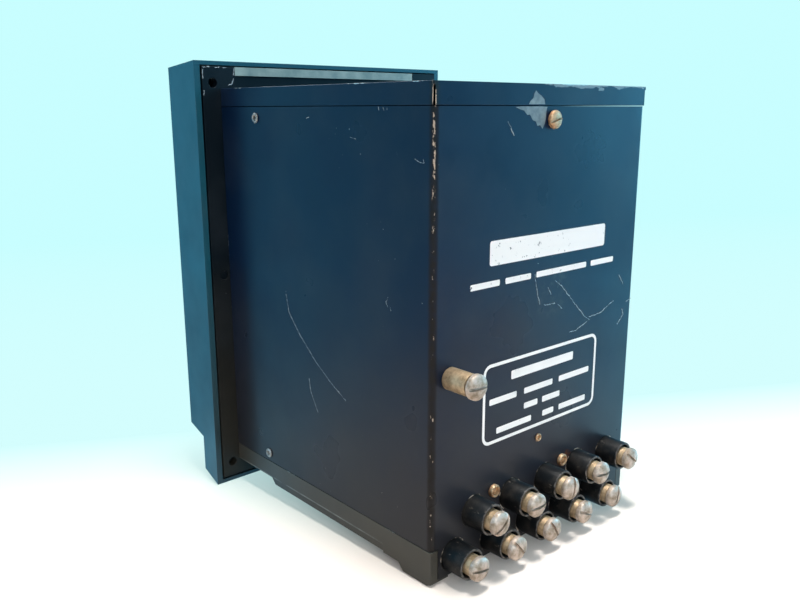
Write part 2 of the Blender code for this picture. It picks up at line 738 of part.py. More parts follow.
def build_ground_post(metal):
    """The ground post riveted into the back, with its screw."""
    seat = REAR_Y + GAP
    mouth = REAR_Y + POST_REACH
    bore_foot = mouth - SCREW_SHANK_LENGTH - 2 * GAP
    inner = INNER_REAR_Y - GAP
    profile = [
        (inner - SHEET, 0.0),
        (inner - SHEET, POST_RADIUS),
        (inner, POST_RADIUS),
        (inner, POST_SPIGOT),
        (seat, POST_SPIGOT),
        (seat, POST_RADIUS),
        (mouth, POST_RADIUS),
        (mouth, SCREW_BORE),
        (bore_foot, SCREW_BORE),
        (bore_foot, 0.0),
    ]
    post = turned("ground_post", profile, FINE, metal, (POST_X, 0.0, POST_Z))
    head = (SCREW_HEAD_RADIUS, SCREW_HEAD_HEIGHT)
    shank = (SCREW_SHANK, SCREW_SHANK_LENGTH)
    place = mouth + GAP
    screw = slotted_screw("ground_screw", POST_X, POST_Z, place, head, shank, metal, 12)
    return post, screw


def build_rear_fasteners(brass, metal):
    """The lid's rear screw, two block screws and a small rivet."""
    seat = REAR_Y + GAP
    head = (REAR_SCREW_RADIUS, REAR_SCREW_HEIGHT)
    shank = (REAR_SCREW_SHANK, 3 * SHEET)
    turn = REAR_SCREW_TURN
    slotted_screw("rear_screw", 0.0, REAR_SCREW_Z, seat, head, shank, brass, turn)
    head = (BLOCK_SCREW_RADIUS, BLOCK_SCREW_HEIGHT)
    shank = (BLOCK_SCREW_SHANK, SHEET + BLOCK_DEPTH / 3)
    for index, (x, z) in enumerate(block_screw_places()):
        name = f"block_screw_{index + 1}"
        turn = BLOCK_SCREW_TURNS[index]
        slotted_screw(name, x, z, seat, head, shank, brass, turn, COARSE)
    profile = rivet_profile(INNER_REAR_Y - GAP, seat)
    turned("rear_rivet", profile, COARSE, metal, (REAR_RIVET_X, 0.0, REAR_RIVET_Z))


def rivet_profile(inner, outer):
    """Profile of a rivet: inner head, shank, outer rolled ring with a dimple."""
    return [
        (inner - RIVET_HEAD_HEIGHT, 0.0),
        (inner - RIVET_HEAD_HEIGHT, RIVET_HEAD),
        (inner, RIVET_HEAD),
        (inner, RIVET_SHANK),
        (outer, RIVET_SHANK),
        (outer, RIVET_HEAD),
        (outer + RIVET_HEAD_HEIGHT, RIVET_HEAD * 0.8),
        (outer + RIVET_HEAD_HEIGHT, RIVET_SHANK * 0.7),
        (outer, RIVET_SHANK * 0.5),
        (outer, 0.0),
    ]


def build_side_rivets(metal):
    """Four rivets that hold the case sides to the flange lugs."""
    inner = INNER_HALF - GAP - LUG_THICKNESS - GAP
    names = {1: "right", -1: "left"}
    levels = {RIVET_HIGH_Z: "upper", RIVET_LOW_Z: "lower"}
    for side, z in side_rivet_places():
        profile = rivet_profile(inner, HALF_CASE + GAP)
        if side < 0:
            profile = [(-along, radius) for along, radius in profile]
        name = f"side_rivet_{names[side]}_{levels[z]}"
        turned(name, profile, COARSE, metal, (0.0, PANEL_Y + RIVET_INSET, z), "X")


def cover_solid(name, inset, material):
    """The cover's outer form, or its hollow when inset by the wall.

    The side outline is swept across the width, and the sides draw in towards
    the front by the draft of the moulding.
    """
    deep = COVER_DEPTH - inset
    front = RIM_Y - deep
    top = COVER_HEIGHT - (inset and COVER_EDGE)
    foot = inset and COVER_EDGE
    step = STEP_Y + inset
    outline = [
        (RIM_Y + (MM if inset else 0.0), foot),
        (RIM_Y + (MM if inset else 0.0), top),
        (front, top - COVER_DRAFT),
        (front, STEP_HEIGHT + inset),
        (step, STEP_HEIGHT - STEP_FALL + inset),
        (step, TOE_HEIGHT + foot),
        (RIM_Y - inset / 2, foot),
    ]
    half = COVER_WIDTH / 2 - inset
    item = prism(name, outline, 0, -half, half, material)
    for vert in item.data.vertices:
        share = max(0.0, (RIM_Y - vert.co.y) / COVER_DEPTH)
        vert.co.x -= math.copysign(COVER_DRAFT * share, vert.co.x)
    return item


def build_cover(moulding, clear):
    """The front cover: a deep moulded frame with a stepped foot and a window."""
    cover = cover_solid("cover_frame", 0.0, moulding)
    cut(cover, cover_solid("cover_hollow", COVER_WALL, None))
    half = COVER_WIDTH / 2 - COVER_DRAFT - WINDOW_MARGIN
    top = COVER_HEIGHT - COVER_DRAFT - WINDOW_MARGIN
    low = (-half, COVER_FRONT_Y - MM, WINDOW_SILL)
    high = (half, COVER_FRONT_Y + COVER_WALL + MM, top)
    cut(cover, block("window_opening", low, high, None))
    ledge = COVER_FRONT_Y + COVER_WALL / 2
    wide = WINDOW_REBATE
    low = (-half - wide, ledge, WINDOW_SILL - wide)
    high = (half + wide, COVER_FRONT_Y + COVER_WALL + MM, top + wide)
    cut(cover, block("window_rebate", low, high, None))
    wide = WINDOW_REBATE - GAP
    low = (-half - wide, ledge + GAP, WINDOW_SILL - wide)
    high = (half + wide, ledge + GAP + WINDOW_PANE, top + wide)
    window = block("cover_window", low, high, clear)
    for side in (-1, 1):
        start = COVER_FRONT_Y - MM
        stop = COVER_FRONT_Y + COVER_WALL + MM
        hole = rod("nut_hole", NUT_HUB + GAP, start, stop, side * NUT_X, NUT_Z)
        cut(cover, hole)
    start = STEP_Y - MM
    stop = STEP_Y + COVER_WALL + MM
    cut(cover, rod("reset_hole", RESET_RADIUS + GAP, start, stop, 0.0, RESET_Z))
    return cover, window


def thumb_nut(name, x, metal):
    """A fluted thumb nut whose hub sits in the cover's hole."""
    seat = COVER_FRONT_Y - GAP
    profile = [
        (seat + COVER_WALL, 0.0),
        (seat + COVER_WALL, NUT_HUB),
        (seat, NUT_HUB),
        (seat, NUT_RADIUS),
        (seat - NUT_HEIGHT + GAP + MM, NUT_RADIUS),
        (seat - NUT_HEIGHT + GAP, NUT_RADIUS - MM),
        (seat - NUT_HEIGHT + GAP, 0.0),
    ]
    nut = turned(name, profile, FINE, metal, (x, 0.0, NUT_Z))
    for index in range(NUT_FLUTES):
        angle = 2 * math.pi * index / NUT_FLUTES
        flute_x = x + (NUT_RADIUS + MM / 3) * math.cos(angle)
        flute_z = NUT_Z + (NUT_RADIUS + MM / 3) * math.sin(angle)
        start = seat - NUT_HEIGHT - MM
        stop = seat - MM
        flute = rod(name + "_flute", FLUTE_RADIUS, start, stop, flute_x, flute_z, FLUTE_FACETS)
        cut(nut, flute)
    start = seat - NUT_HEIGHT / 2
    cut(nut, rod(name + "_bore", NUT_BORE, start, seat + 2 * COVER_WALL, x, NUT_Z))
    return nut


def cover_stud(name, x, metal):
    """A stud from the flange that the thumb nut screws on to."""
    shoulder = STUD_RADIUS + STUD_COLLAR
    foot = FLANGE_FRONT_Y - GAP
    tip = COVER_FRONT_Y - NUT_HEIGHT / 2 + 4 * GAP
    profile = [
        (PANEL_Y - RUNNING_GAP, 0.0),
        (PANEL_Y - RUNNING_GAP, STUD_RADIUS),
        (foot, STUD_RADIUS),
        (foot, shoulder),
        (foot - STUD_COLLAR, shoulder),
        (foot - STUD_COLLAR, STUD_RADIUS),
        (tip, STUD_RADIUS),
        (tip, 0.0),
    ]
    return turned(name, profile, COARSE, metal, (x, 0.0, NUT_Z))


def reset_plunger(plastic):
    """The target reset plunger, pushed in through the cover's stepped foot."""
    seat = STEP_Y + COVER_WALL + GAP
    front = STEP_Y - RESET_REACH
    profile = [
        (seat + 2 * MM, 0.0),
        (seat + 2 * MM, RESET_SHOULDER),
        (seat, RESET_SHOULDER),
        (seat, RESET_RADIUS),
        (front + MM, RESET_RADIUS),
        (front, RESET_RADIUS - MM),
        (front, 0.0),
    ]
    return turned("reset_plunger", profile, MEDIUM, plastic, (0.0, 0.0, RESET_Z))


def dial_places():
    """X and Z of the three setting dials."""
    lower = DIAL_Z - DIAL_SPREAD
    return [(-DIAL_SPREAD / 2, DIAL_Z), (DIAL_SPREAD / 2, DIAL_Z), (0.0, lower)]


def build_chassis(sheet, panel_finish, circuit, core, relay_case):
    """The drawout chassis: folded frame, front panel, boards and large parts."""
    depth_front = CHASSIS_FRONT_Y + GAP
    top = CHASSIS_HEAD
    foot = PANEL_FOOT
    thick = CHASSIS_SHEET
    lip = CHASSIS_LIP
    outline = [
        (depth_front, foot),
        (CHASSIS_REAR_Y, foot),
        (CHASSIS_REAR_Y, top),
        (depth_front, top),
        (depth_front, top - lip),
        (depth_front + thick, top - lip),
        (depth_front + thick, top - thick),
        (CHASSIS_REAR_Y - thick, top - thick),
        (CHASSIS_REAR_Y - thick, foot + thick),
        (depth_front + thick, foot + thick),
        (depth_front + thick, foot + lip),
        (depth_front, foot + lip),
    ]
    frame = prism("chassis_frame", outline, 0, -CHASSIS_HALF, CHASSIS_HALF, sheet)
    low = (-CHASSIS_HALF, FLANGE_FRONT_Y, foot)
    high = (CHASSIS_HALF, CHASSIS_FRONT_Y, top)
    panel = block("front_panel", low, high, panel_finish, bevel=0.4 * MM)
    board_front = CHASSIS_FRONT_Y + BOARD_OFFSET
    low = (-CHASSIS_HALF + lip, board_front, foot + lip)
    high = (CHASSIS_HALF - lip, board_front + BOARD_THICKNESS, top - lip)
    dial_board = block("dial_board", low, high, circuit)
    for x, z in dial_places():
        start = FLANGE_FRONT_Y - MM
        radius = DIAL_SHAFT + GAP
        stop = CHASSIS_FRONT_Y + MM
        cut(panel, rod("panel_dial_hole", radius, start, stop, x, z))
        half = POT_SIZE / 2
        low = (x - half, board_front - POT_DEPTH, z - half)
        high = (x + half, board_front + BOARD_THICKNESS / 2, z + half)
        join(dial_board, block("pot_body", low, high, None))
    for side in (-1, 1):
        x = side * (CHASSIS_HALF - 1.5 * lip)
        half = BRACKET_WIDTH / 2
        low = (x - half, depth_front + thick + GAP, top - lip - BRACKET_DROP)
        high = (x + half, board_front + BOARD_THICKNESS / 2, top - thick - GAP)
        join(dial_board, block("board_bracket", low, high, None))
    low_y = board_front + BOARD_THICKNESS + BOARD_SPACING
    low = (MAIN_BOARD_X, low_y, foot + thick + GAP)
    stop = CHASSIS_REAR_Y - thick - GAP
    high = (MAIN_BOARD_X + BOARD_THICKNESS, stop, top - thick - GAP)
    main_board = block("main_board", low, high, circuit)
    for share, up, reach in COMPONENT_PLACES:
        y = CHASSIS_FRONT_Y + share * CHASSIS_DEPTH
        low = (MAIN_BOARD_X + BOARD_THICKNESS / 2, y, up)
        high = (low[0] + reach * 0.8, low[1] + reach, low[2] + reach)
        join(main_board, block("board_component", low, high, None, bevel=0.5 * MM))
    depth = TRANSFORMER_SHARE * CHASSIS_DEPTH
    size = (TRANSFORMER_WIDTH, depth, TRANSFORMER_HEIGHT)
    x = LARGE_PARTS_X
    y = CHASSIS_REAR_Y - thick - TRANSFORMER_REAR_GAP - size[1]
    z = foot + thick + GAP
    low = (x, y, z)
    high = (x + size[0], y + size[1], z + size[2])
    transformer = block("power_transformer", low, high, core, bevel=MM)
    inset = WINDING_INSET
    low = (x + inset, y - inset, z + inset)
    high = (x + size[0] - inset, y + size[1] + inset, z + size[2] - inset)
    join(transformer, block("winding", low, high, None, bevel=2 * MM))
    depth = OUTPUT_RELAY_SHARE * CHASSIS_DEPTH
    size = (OUTPUT_RELAY_WIDTH, depth, OUTPUT_RELAY_HEIGHT)
    y = low_y + OUTPUT_RELAY_GAP
    low = (x, y, z)
    high = (x + size[0], y + size[1], z + size[2])
    relay = block("output_relay", low, high, relay_case, bevel=MM)
    return frame, panel, dial_board, main_board, transformer, relay


def build_dial(name, x, z, plastic):
    """A setting dial: skirted knob, fluted grip, pointer rib and shaft."""
    seat = FLANGE_FRONT_Y - GAP
    skirt = DIAL_SKIRT
    grip = DIAL_RADIUS * 0.62
    shaft_end = CHASSIS_FRONT_Y + BOARD_OFFSET - POT_DEPTH - GAP
    profile = [
        (shaft_end, 0.0),
        (shaft_end, DIAL_SHAFT),
        (seat, DIAL_SHAFT),
        (seat, DIAL_RADIUS),
        (seat - skirt * 0.6, DIAL_RADIUS),
        (seat - skirt, grip),
        (seat - DIAL_HEIGHT, grip * 0.9),
        (seat - DIAL_HEIGHT, 0.0),
    ]
    dial = turned(name, profile, FINE, plastic, (x, 0.0, z))
    width = POINTER_WIDTH
    low = (x - width / 2, seat - DIAL_HEIGHT - POINTER_RISE, z)
    high = (x + width / 2, seat - DIAL_HEIGHT / 2, z + grip)
    join(dial, block(name + "_pointer", low, high, None))
    return dial


def blade_places():
    """X of the plug's contact blades."""
    first = -BLADE_PITCH * (BLADE_COUNT - 1) / 2
    return [first + BLADE_PITCH * index for index in range(BLADE_COUNT)]


def build_plug(plastic, dark):
    """The connection plug and the fixed contact block that it joins."""
    middle = (OPENING_FOOT + PANEL_FOOT) / 2
    front = FLANGE_FRONT_Y - PLUG_GRIP
    rear = FLANGE_FRONT_Y + PLUG_DEPTH
    low = (-PLUG_WIDTH / 2, FLANGE_FRONT_Y, middle - PLUG_HEIGHT / 2)
    high = (PLUG_WIDTH / 2, rear, middle + PLUG_HEIGHT / 2)
    plug = block("connection_plug", low, high, plastic, bevel=MM)
    low = (-PLUG_WIDTH / 4, front, middle - PLUG_HEIGHT / 6)
    high = (PLUG_WIDTH / 4, FLANGE_FRONT_Y + MM, middle + PLUG_HEIGHT / 6)
    join(plug, block("plug_grip", low, high, None, bevel=MM))
    block_front = rear + GAP
    low = (-PLUG_WIDTH / 2, block_front, PAN_LEVEL + PAN_FLOOR + GAP)
    high_z = low[2] + CONTACT_BLOCK_HEIGHT + PLUG_HEIGHT / 4
    high = (PLUG_WIDTH / 2, block_front + CONTACT_BLOCK_DEPTH, high_z)
    contact = block("contact_block", low, high, dark, bevel=MM)
    for x in blade_places():
        half = BLADE_THICKNESS / 2
        low = (x - half, rear - MM, middle - BLADE_WIDTH / 2)
        high = (x + half, rear + BLADE_LENGTH, middle + BLADE_WIDTH / 2)
        join(plug, block("plug_blade", low, high, None))
        low = (low[0] - GAP, block_front - MM, low[2] - GAP)
        high = (high[0] + GAP, high[1] + 2 * GAP, high[2] + GAP)
        cut(contact, block("contact_slot", low, high, None))
    return plug, contact


def main():
    """Build every piece of the relay."""
    clear_scene()
    paint = make_material("black_paint", (0.012, 0.016, 0.022), 0.45)
    casting = make_material("flange_paint", (0.010, 0.012, 0.015), 0.5)
    cover_finish = make_material("cover_moulding", (0.014, 0.018, 0.022), 0.42)
    moulding = make_material("black_moulding", (0.010, 0.010, 0.010), 0.4)
    steel = make_material("plated_metal", (0.62, 0.58, 0.52), 0.35, 1.0)
    brass = make_material("tarnished_brass", (0.50, 0.34, 0.20), 0.4, 1.0)
    felt = make_material("pale_felt", (0.55, 0.58, 0.55), 0.9)
    clear = make_material("clear_plastic", (0.9, 0.93, 0.93), 0.08, 0.0, 0.25)
    sheet = make_material("zinc_sheet", (0.55, 0.56, 0.57), 0.4, 1.0)
    circuit = make_material("circuit_board", (0.03, 0.16, 0.07), 0.5)
    core = make_material("core_iron", (0.12, 0.11, 0.11), 0.5, 0.6)
    amber = make_material("relay_case", (0.30, 0.28, 0.24), 0.3)

    build_case_shell(paint)
    build_top_cap(paint)
    build_bottom_pan(cover_finish)
    build_flange(casting)
    build_seal_strip(felt)
    build_terminal_block(moulding)
    build_terminals(steel)
    build_ground_post(steel)
    build_rear_fasteners(brass, steel)
    build_side_rivets(steel)

    cover_carrier = empty("cover_slide", (0.0, COVER_FRONT_Y, NUT_Z))
    chassis_carrier = empty("chassis_slide", (0.0, CHASSIS_FRONT_Y, NUT_Z))
    cover, window = build_cover(cover_finish, clear)
    nuts = []
    for side, word in ((-1, "left"), (1, "right")):
        nuts.append(thumb_nut(f"cover_nut_{word}", side * NUT_X, steel))
        cover_stud(f"cover_stud_{word}", side * NUT_X, steel)
    plunger = reset_plunger(moulding)
    carry(cover_carrier, cover, window, plunger, *nuts)

    chassis = build_chassis(sheet, paint, circuit, core, amber)
    dials = []
    for index, (x, z) in enumerate(dial_places()):
        dials.append(build_dial(f"dial_{index + 1}", x, z, moulding))
    plug, contact = build_plug(moulding, moulding)
    carry(chassis_carrier, plug, *chassis, *dials)


main()
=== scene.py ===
# %% [markdown]
# # A protection relay in a drawout case
#
# The relay is a steel case the size of a small loaf. It goes through a hole in
# a switchboard, so its front carries a cover and a flange, and its back carries
# ten screw terminals. The photograph looks at the back, so the back gets the
# most work here.
#
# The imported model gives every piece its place. This lesson dresses it: finer
# copies of the large pieces, turned fasteners set out by Geometry Nodes, paint
# with its wear, the print on the back, and a pale studio.

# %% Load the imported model
import math

import bmesh
import bpy
from mathutils import Matrix, Vector


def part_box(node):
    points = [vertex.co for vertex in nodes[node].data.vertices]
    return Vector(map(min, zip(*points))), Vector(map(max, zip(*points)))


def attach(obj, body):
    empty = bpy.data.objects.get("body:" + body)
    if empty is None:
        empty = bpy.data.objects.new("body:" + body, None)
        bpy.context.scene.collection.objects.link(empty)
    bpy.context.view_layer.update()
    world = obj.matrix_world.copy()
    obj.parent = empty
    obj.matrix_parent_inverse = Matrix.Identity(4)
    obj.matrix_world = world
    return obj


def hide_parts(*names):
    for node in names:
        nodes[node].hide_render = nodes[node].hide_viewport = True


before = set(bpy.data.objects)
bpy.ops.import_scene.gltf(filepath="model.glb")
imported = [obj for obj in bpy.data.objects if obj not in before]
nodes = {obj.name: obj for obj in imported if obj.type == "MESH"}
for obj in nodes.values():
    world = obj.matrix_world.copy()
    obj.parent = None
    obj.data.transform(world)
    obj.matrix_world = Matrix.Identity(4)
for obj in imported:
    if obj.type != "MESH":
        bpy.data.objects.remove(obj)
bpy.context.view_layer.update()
print("pieces in the packed model:", len(nodes))

# %% [markdown]
# ## The camera
#
# The camera stands where the photographer's stood: behind the relay, to its
# right, a little above its top. The place and angles come from fitting the
# corners of the case to the picture. A camera looks along its own -Z, so its
# three axes are built from the direction of view.

# %% Place the camera
MM = 0.001
CAMERA_PLACE = Vector((281.9, 308.6, 203.7)) * MM
CAMERA_YAW = math.radians(41.665)
CAMERA_PITCH = math.radians(13.367)
CAMERA_ROLL = math.radians(-0.086)
LENS = 36.09
SENSOR_WIDTH = 36.0
CLIP_RANGE = (0.01, 50.0)

forward = Vector((
    -math.sin(CAMERA_YAW) * math.cos(CAMERA_PITCH),
    -math.cos(CAMERA_YAW) * math.cos(CAMERA_PITCH),
    -math.sin(CAMERA_PITCH),
))
camera_data = bpy.data.cameras.new("photo_camera")
camera_data.lens = LENS
camera_data.sensor_width = SENSOR_WIDTH
camera_data.clip_start, camera_data.clip_end = CLIP_RANGE
camera = bpy.data.objects.new("photo_camera", camera_data)
camera.rotation_mode = "QUATERNION"
camera.rotation_quaternion = (
    forward.to_track_quat("-Z", "Y") @ Matrix.Rotation(CAMERA_ROLL, 3, "Z").to_quaternion()
)
camera.location = CAMERA_PLACE
bpy.context.scene.collection.objects.link(camera)
bpy.context.scene.camera = camera
bpy.context.scene.view_settings.view_transform = "Standard"
print("camera looks along", [round(axis, 3) for axis in forward])

# %% [markdown]
# ## Small helpers for node trees
#
# Materials are built from nodes and links. A sum in nodes is hard to read when
# each step is a call, so a small class lets a socket take the plain signs. The
# other helpers read the object's own coordinates, make noise on them, stretch a
# range of values to 0-1, and mix colours.

# %% Helpers for shader nodes


class Term:
    """A value that nodes work out, which takes the plain signs of a sum."""

    def __init__(self, socket):
        self.socket = socket

    def __add__(self, other):
        return calc("ADD", self, other)

    def __sub__(self, other):
        return calc("SUBTRACT", self, other)

    def __rsub__(self, other):
        return calc("SUBTRACT", other, self)

    def __mul__(self, other):
        return calc("MULTIPLY", self, other)

    def __gt__(self, other):
        return calc("GREATER_THAN", self, other)

    def __lt__(self, other):
        return calc("LESS_THAN", self, other)

    def __abs__(self):
        return calc("ABSOLUTE", self)


def give(socket, value):
    """Set an input socket, or link it to a value that nodes work out."""
    if isinstance(value, Term):
        socket.id_data.links.new(value.socket, socket)
    elif socket.type == "RGBA":
        socket.default_value = (*value, 1.0)
    else:
        socket.default_value = value


def calc(operation, *values):
    """A maths node on numbers and terms."""
    tree = next(value for value in values if isinstance(value, Term)).socket.id_data
    node = tree.nodes.new("ShaderNodeMath")
    node.operation = operation
    for socket, value in zip(node.inputs, values):
        give(socket, value)
    return Term(node.outputs[0])


def object_place(tree):
    """The place of a point in the piece's own coordinates."""
    return Term(tree.nodes.new("ShaderNodeTexCoord").outputs["Object"])


def axes(tree):
    """That place as three terms: X, Y and Z."""
    split = tree.nodes.new("ShaderNodeSeparateXYZ")
    give(split.inputs["Vector"], object_place(tree))
    return [Term(socket) for socket in split.outputs]


def noise(tree, scale, detail=2.0, roughness=0.5, seed=0.0, stretch=(1, 1, 1)):
    """Noise on Object coordinates, so the pattern stays on the piece."""
    mapping = tree.nodes.new("ShaderNodeMapping")
    mapping.inputs["Location"].default_value = (seed, seed * 0.7, -seed)
    mapping.inputs["Scale"].default_value = stretch
    texture = tree.nodes.new("ShaderNodeTexNoise")
    texture.inputs["Scale"].default_value = scale
    texture.inputs["Detail"].default_value = detail
    texture.inputs["Roughness"].default_value = roughness
    give(mapping.inputs["Vector"], object_place(tree))
    give(texture.inputs["Vector"], Term(mapping.outputs["Vector"]))
    return Term(texture.outputs["Fac"])


def spread(value, low, high, to_low=0.0, to_high=1.0):
    """Map low..high to to_low..to_high and clamp outside it."""
    node = value.socket.id_data.nodes.new("ShaderNodeMapRange")
    node.inputs["From Min"].default_value = low
    node.inputs["From Max"].default_value = high
    node.inputs["To Min"].default_value = to_low
    node.inputs["To Max"].default_value = to_high
    give(node.inputs["Value"], value)
    return Term(node.outputs["Result"])


def mix_colours(share, first, second):
    """Mix two colours, each a tuple or a term, by a share from 0 to 1."""
    node = share.socket.id_data.nodes.new("ShaderNodeMix")
    node.data_type = "RGBA"
    for index, value in ((0, share), (6, first), (7, second)):
        give(node.inputs[index], value)
    return Term(node.outputs[2])


def plain_material(name, colour, roughness, metallic=0.0):
    """A Principled material, its node tree and its shader's inputs."""
    material = bpy.data.materials.new(name)
    material.use_nodes = True
    inputs = material.node_tree.nodes["Principled BSDF"].inputs
    give(inputs["Base Color"], colour)
    inputs["Roughness"].default_value = roughness
    inputs["Metallic"].default_value = metallic
    return material, material.node_tree, inputs


def add_bump(tree, inputs, height, strength, distance):
    """Let a height value disturb the surface."""
    bump = tree.nodes.new("ShaderNodeBump")
    bump.inputs["Strength"].default_value = strength
    bump.inputs["Distance"].default_value = distance
    give(bump.inputs["Height"], height)
    give(inputs["Normal"], Term(bump.outputs["Normal"]))

# %% [markdown]
# ## The studio
#
# The relay stands on a white sheet that turns to pale blue behind it. The real
# relay leans back by two degrees, because the lower edge of its cover reaches
# below its feet, so here the sheet is tilted instead and meets both.
#
# The colour of the sheet is a mix by distance from the front of the scene,
# written on the sheet's own coordinates, and the sheet also turns blue all
# round, so no side shows its far edge. A little light of its own, seen only
# by camera, glossy and transmission rays, keeps it white and turns it blue
# behind, without lighting the relay more. Mirrored in the paint, the blue is
# deeper than it looks in the picture, where it's nearly white. The part of the
# back that lies furthest right mirrors something strongly blue outside the
# picture. A card on the sheet, seen only in mirrored rays, stands in for it.

# %% Make the sheet
FEET_LEVEL = 5.3 * MM
FEET_Y = 87.6 * MM
RIM_FOOT_Y = -66.6 * MM
SHEET_SIZE = 16.0
SHEET_DROP = 0.2 * MM
WHITE_END = 0.33
BLUE_START = 0.52
PALEST_BLUE = 0.52
DEEPEST_BLUE = 1.60
ROUND_START = 0.75
ROUND_END = 1.50
ROUND_DEEPEST = 3.50
LEFT_BIAS = 0.17
SHEET_WHITE = (0.94, 0.86, 0.79)
SHEET_MIRRORED = (0.58, 0.54, 0.50)
SHEET_GLOW = (0.06, 0.06, 0.06)
NEAR_BLUE = (0.66, 0.99, 0.99)
CARD_EDGE = (-42 * MM, 108 * MM)
CARD_TURN = math.radians(44)
CARD_FADE = 0.11
CARD_BLUE = (0.45, 0.88, 0.98)
CARD_GLOW = (0.05, 1.45, 2.5)
WALL_SEEN = (0.58, 0.99, 1.0)
WALL_MIRRORED = (0.20, 0.78, 1.20)


def seen_rays(tree):
    """1 for camera, glossy and transmission rays, else 0."""
    path = tree.nodes.new("ShaderNodeLightPath").outputs
    first = calc("MAXIMUM", Term(path["Is Camera Ray"]), Term(path["Is Glossy Ray"]))
    return calc("MAXIMUM", first, Term(path["Is Transmission Ray"]))


def mirrored_rays(tree):
    """1 for mirrored rays, and 0 for the rest, with those through the window."""
    path = tree.nodes.new("ShaderNodeLightPath").outputs
    return Term(path["Is Glossy Ray"]) * (1.0 - Term(path["Is Transmission Ray"]))


def plain_mesh(name, points, edges=(), faces=()):
    """A mesh from lists of points, edges and faces."""
    mesh = bpy.data.meshes.new(name)
    mesh.from_pydata(points, edges, faces)
    return mesh


def add_object(name, mesh):
    """Link a new object for a mesh."""
    item = bpy.data.objects.new(name, mesh)
    bpy.context.scene.collection.objects.link(item)
    return item


tilt = math.atan2(FEET_LEVEL, FEET_Y - RIM_FOOT_Y)
half = SHEET_SIZE / 2
corners = []
for x, y in ((-half, -half), (half, -half), (half, half), (-half, half)):
    corners.append((x, y, (y - RIM_FOOT_Y) * math.tan(tilt) - SHEET_DROP))
sheet_mesh = plain_mesh("studio_sheet", corners, faces=[(0, 1, 2, 3)])
studio_sheet = add_object("studio_sheet", sheet_mesh)

# %% Colour the sheet
sheet_paper, tree, inputs = plain_material("sheet_paper", SHEET_WHITE, 0.9)
inputs["Specular IOR Level"].default_value = 0.0
x, y, z = axes(tree)
from_x = x - CAMERA_PLACE.x
from_y = y - CAMERA_PLACE.y
ahead = from_x * -math.sin(CAMERA_YAW) + from_y * -math.cos(CAMERA_YAW)
leftward = from_x * math.cos(CAMERA_YAW) + from_y * -math.sin(CAMERA_YAW)
distance = ahead + leftward * LEFT_BIAS
length = tree.nodes.new("ShaderNodeVectorMath")
length.operation = "LENGTH"
give(length.inputs[0], object_place(tree))
radius = Term(length.outputs["Value"])
around = spread(radius, ROUND_START, ROUND_END)
far = calc("MAXIMUM", spread(distance, WHITE_END, BLUE_START), around)
around = spread(radius, ROUND_END, ROUND_DEEPEST)
farther = calc("MAXIMUM", spread(distance, PALEST_BLUE, DEEPEST_BLUE), around)
beside = (CARD_EDGE[0] - x) * math.cos(CARD_TURN)
behind = (CARD_EDGE[1] - y) * math.sin(CARD_TURN)
card = spread(beside + behind, 0.0, CARD_FADE)
mirrored = mirrored_rays(tree)
near_white = mix_colours(mirrored, SHEET_WHITE, mix_colours(card, SHEET_MIRRORED, CARD_BLUE))
blue = mix_colours(mirrored, mix_colours(farther, NEAR_BLUE, WALL_SEEN), WALL_MIRRORED)
glow = mix_colours(card * mirrored, SHEET_GLOW, CARD_GLOW)
give(inputs["Base Color"], mix_colours(far, near_white, (0.0, 0.0, 0.0)))
give(inputs["Emission Color"], mix_colours(far, glow, blue))
give(inputs["Emission Strength"], seen_rays(tree))
sheet_mesh.materials.append(sheet_paper)
print("sheet tilted by", round(math.degrees(tilt), 2), "degrees")

# %% [markdown]
# The world is the wall behind the sheet: pale blue where it is seen or
# mirrored, and a plain soft white where it only lights the relay. Four soft
# lamps add direction. The shadows of the terminals lie right under them, so
# the main lamp hangs overhead. A weak one near the camera fills the back, a
# cool one far out on the right of the picture puts a sheen across it, and the
# last one lights the face that the camera doesn't see.

# %% Light the studio
WALL_LIGHT = (0.86, 0.94, 1.0)
WALL_LIGHT_LEVEL = 0.35
AIM = Vector((0.0, 0.03, 0.08))
LAMPS = (
    ("key_lamp", (0.06, 0.12, 1.35), 0.25, 19.0, (1.0, 0.98, 0.95)),
    ("back_lamp", (0.9, 1.5, 1.0), 1.0, 10.5, (1.0, 0.98, 0.96)),
    ("side_lamp", (-1.6, 0.62, 0.35), 0.9, 13.0, (0.16, 0.66, 1.0)),
    ("face_lamp", (-0.7, -1.6, 0.9), 1.2, 24.0, (1.0, 0.99, 0.97)),
)

world = bpy.data.worlds.new("studio_wall")
world.use_nodes = True
bpy.context.scene.world = world
tree = world.node_tree
lit = tuple(WALL_LIGHT_LEVEL * part for part in WALL_LIGHT)
wall = mix_colours(mirrored_rays(tree), WALL_SEEN, WALL_MIRRORED)
give(tree.nodes["Background"].inputs["Color"], mix_colours(seen_rays(tree), lit, wall))

for name, place, size, power, colour in LAMPS:
    data = bpy.data.lights.new(name, "AREA")
    data.shape = "SQUARE"
    data.size = size
    data.energy = power
    data.color = colour
    lamp = add_object(name, data)
    lamp.location = place
    lamp.rotation_mode = "QUATERNION"
    lamp.rotation_quaternion = (AIM - Vector(place)).to_track_quat("-Z", "Y")
print("lamps:", len(LAMPS))

# %% [markdown]
# ## Paint that is worn at its edges
#
# The steel is painted satin black with a blue cast. Handling has rubbed the
# paint off along the folds and left small chips elsewhere.
#
# On a box, the distance from a point on a face to the nearest edge is the
# middle one of its three distances to the box's sides. That needs only the
# piece's coordinates. Where noise reaches further than that distance, the
# paint is gone and bare metal shows.

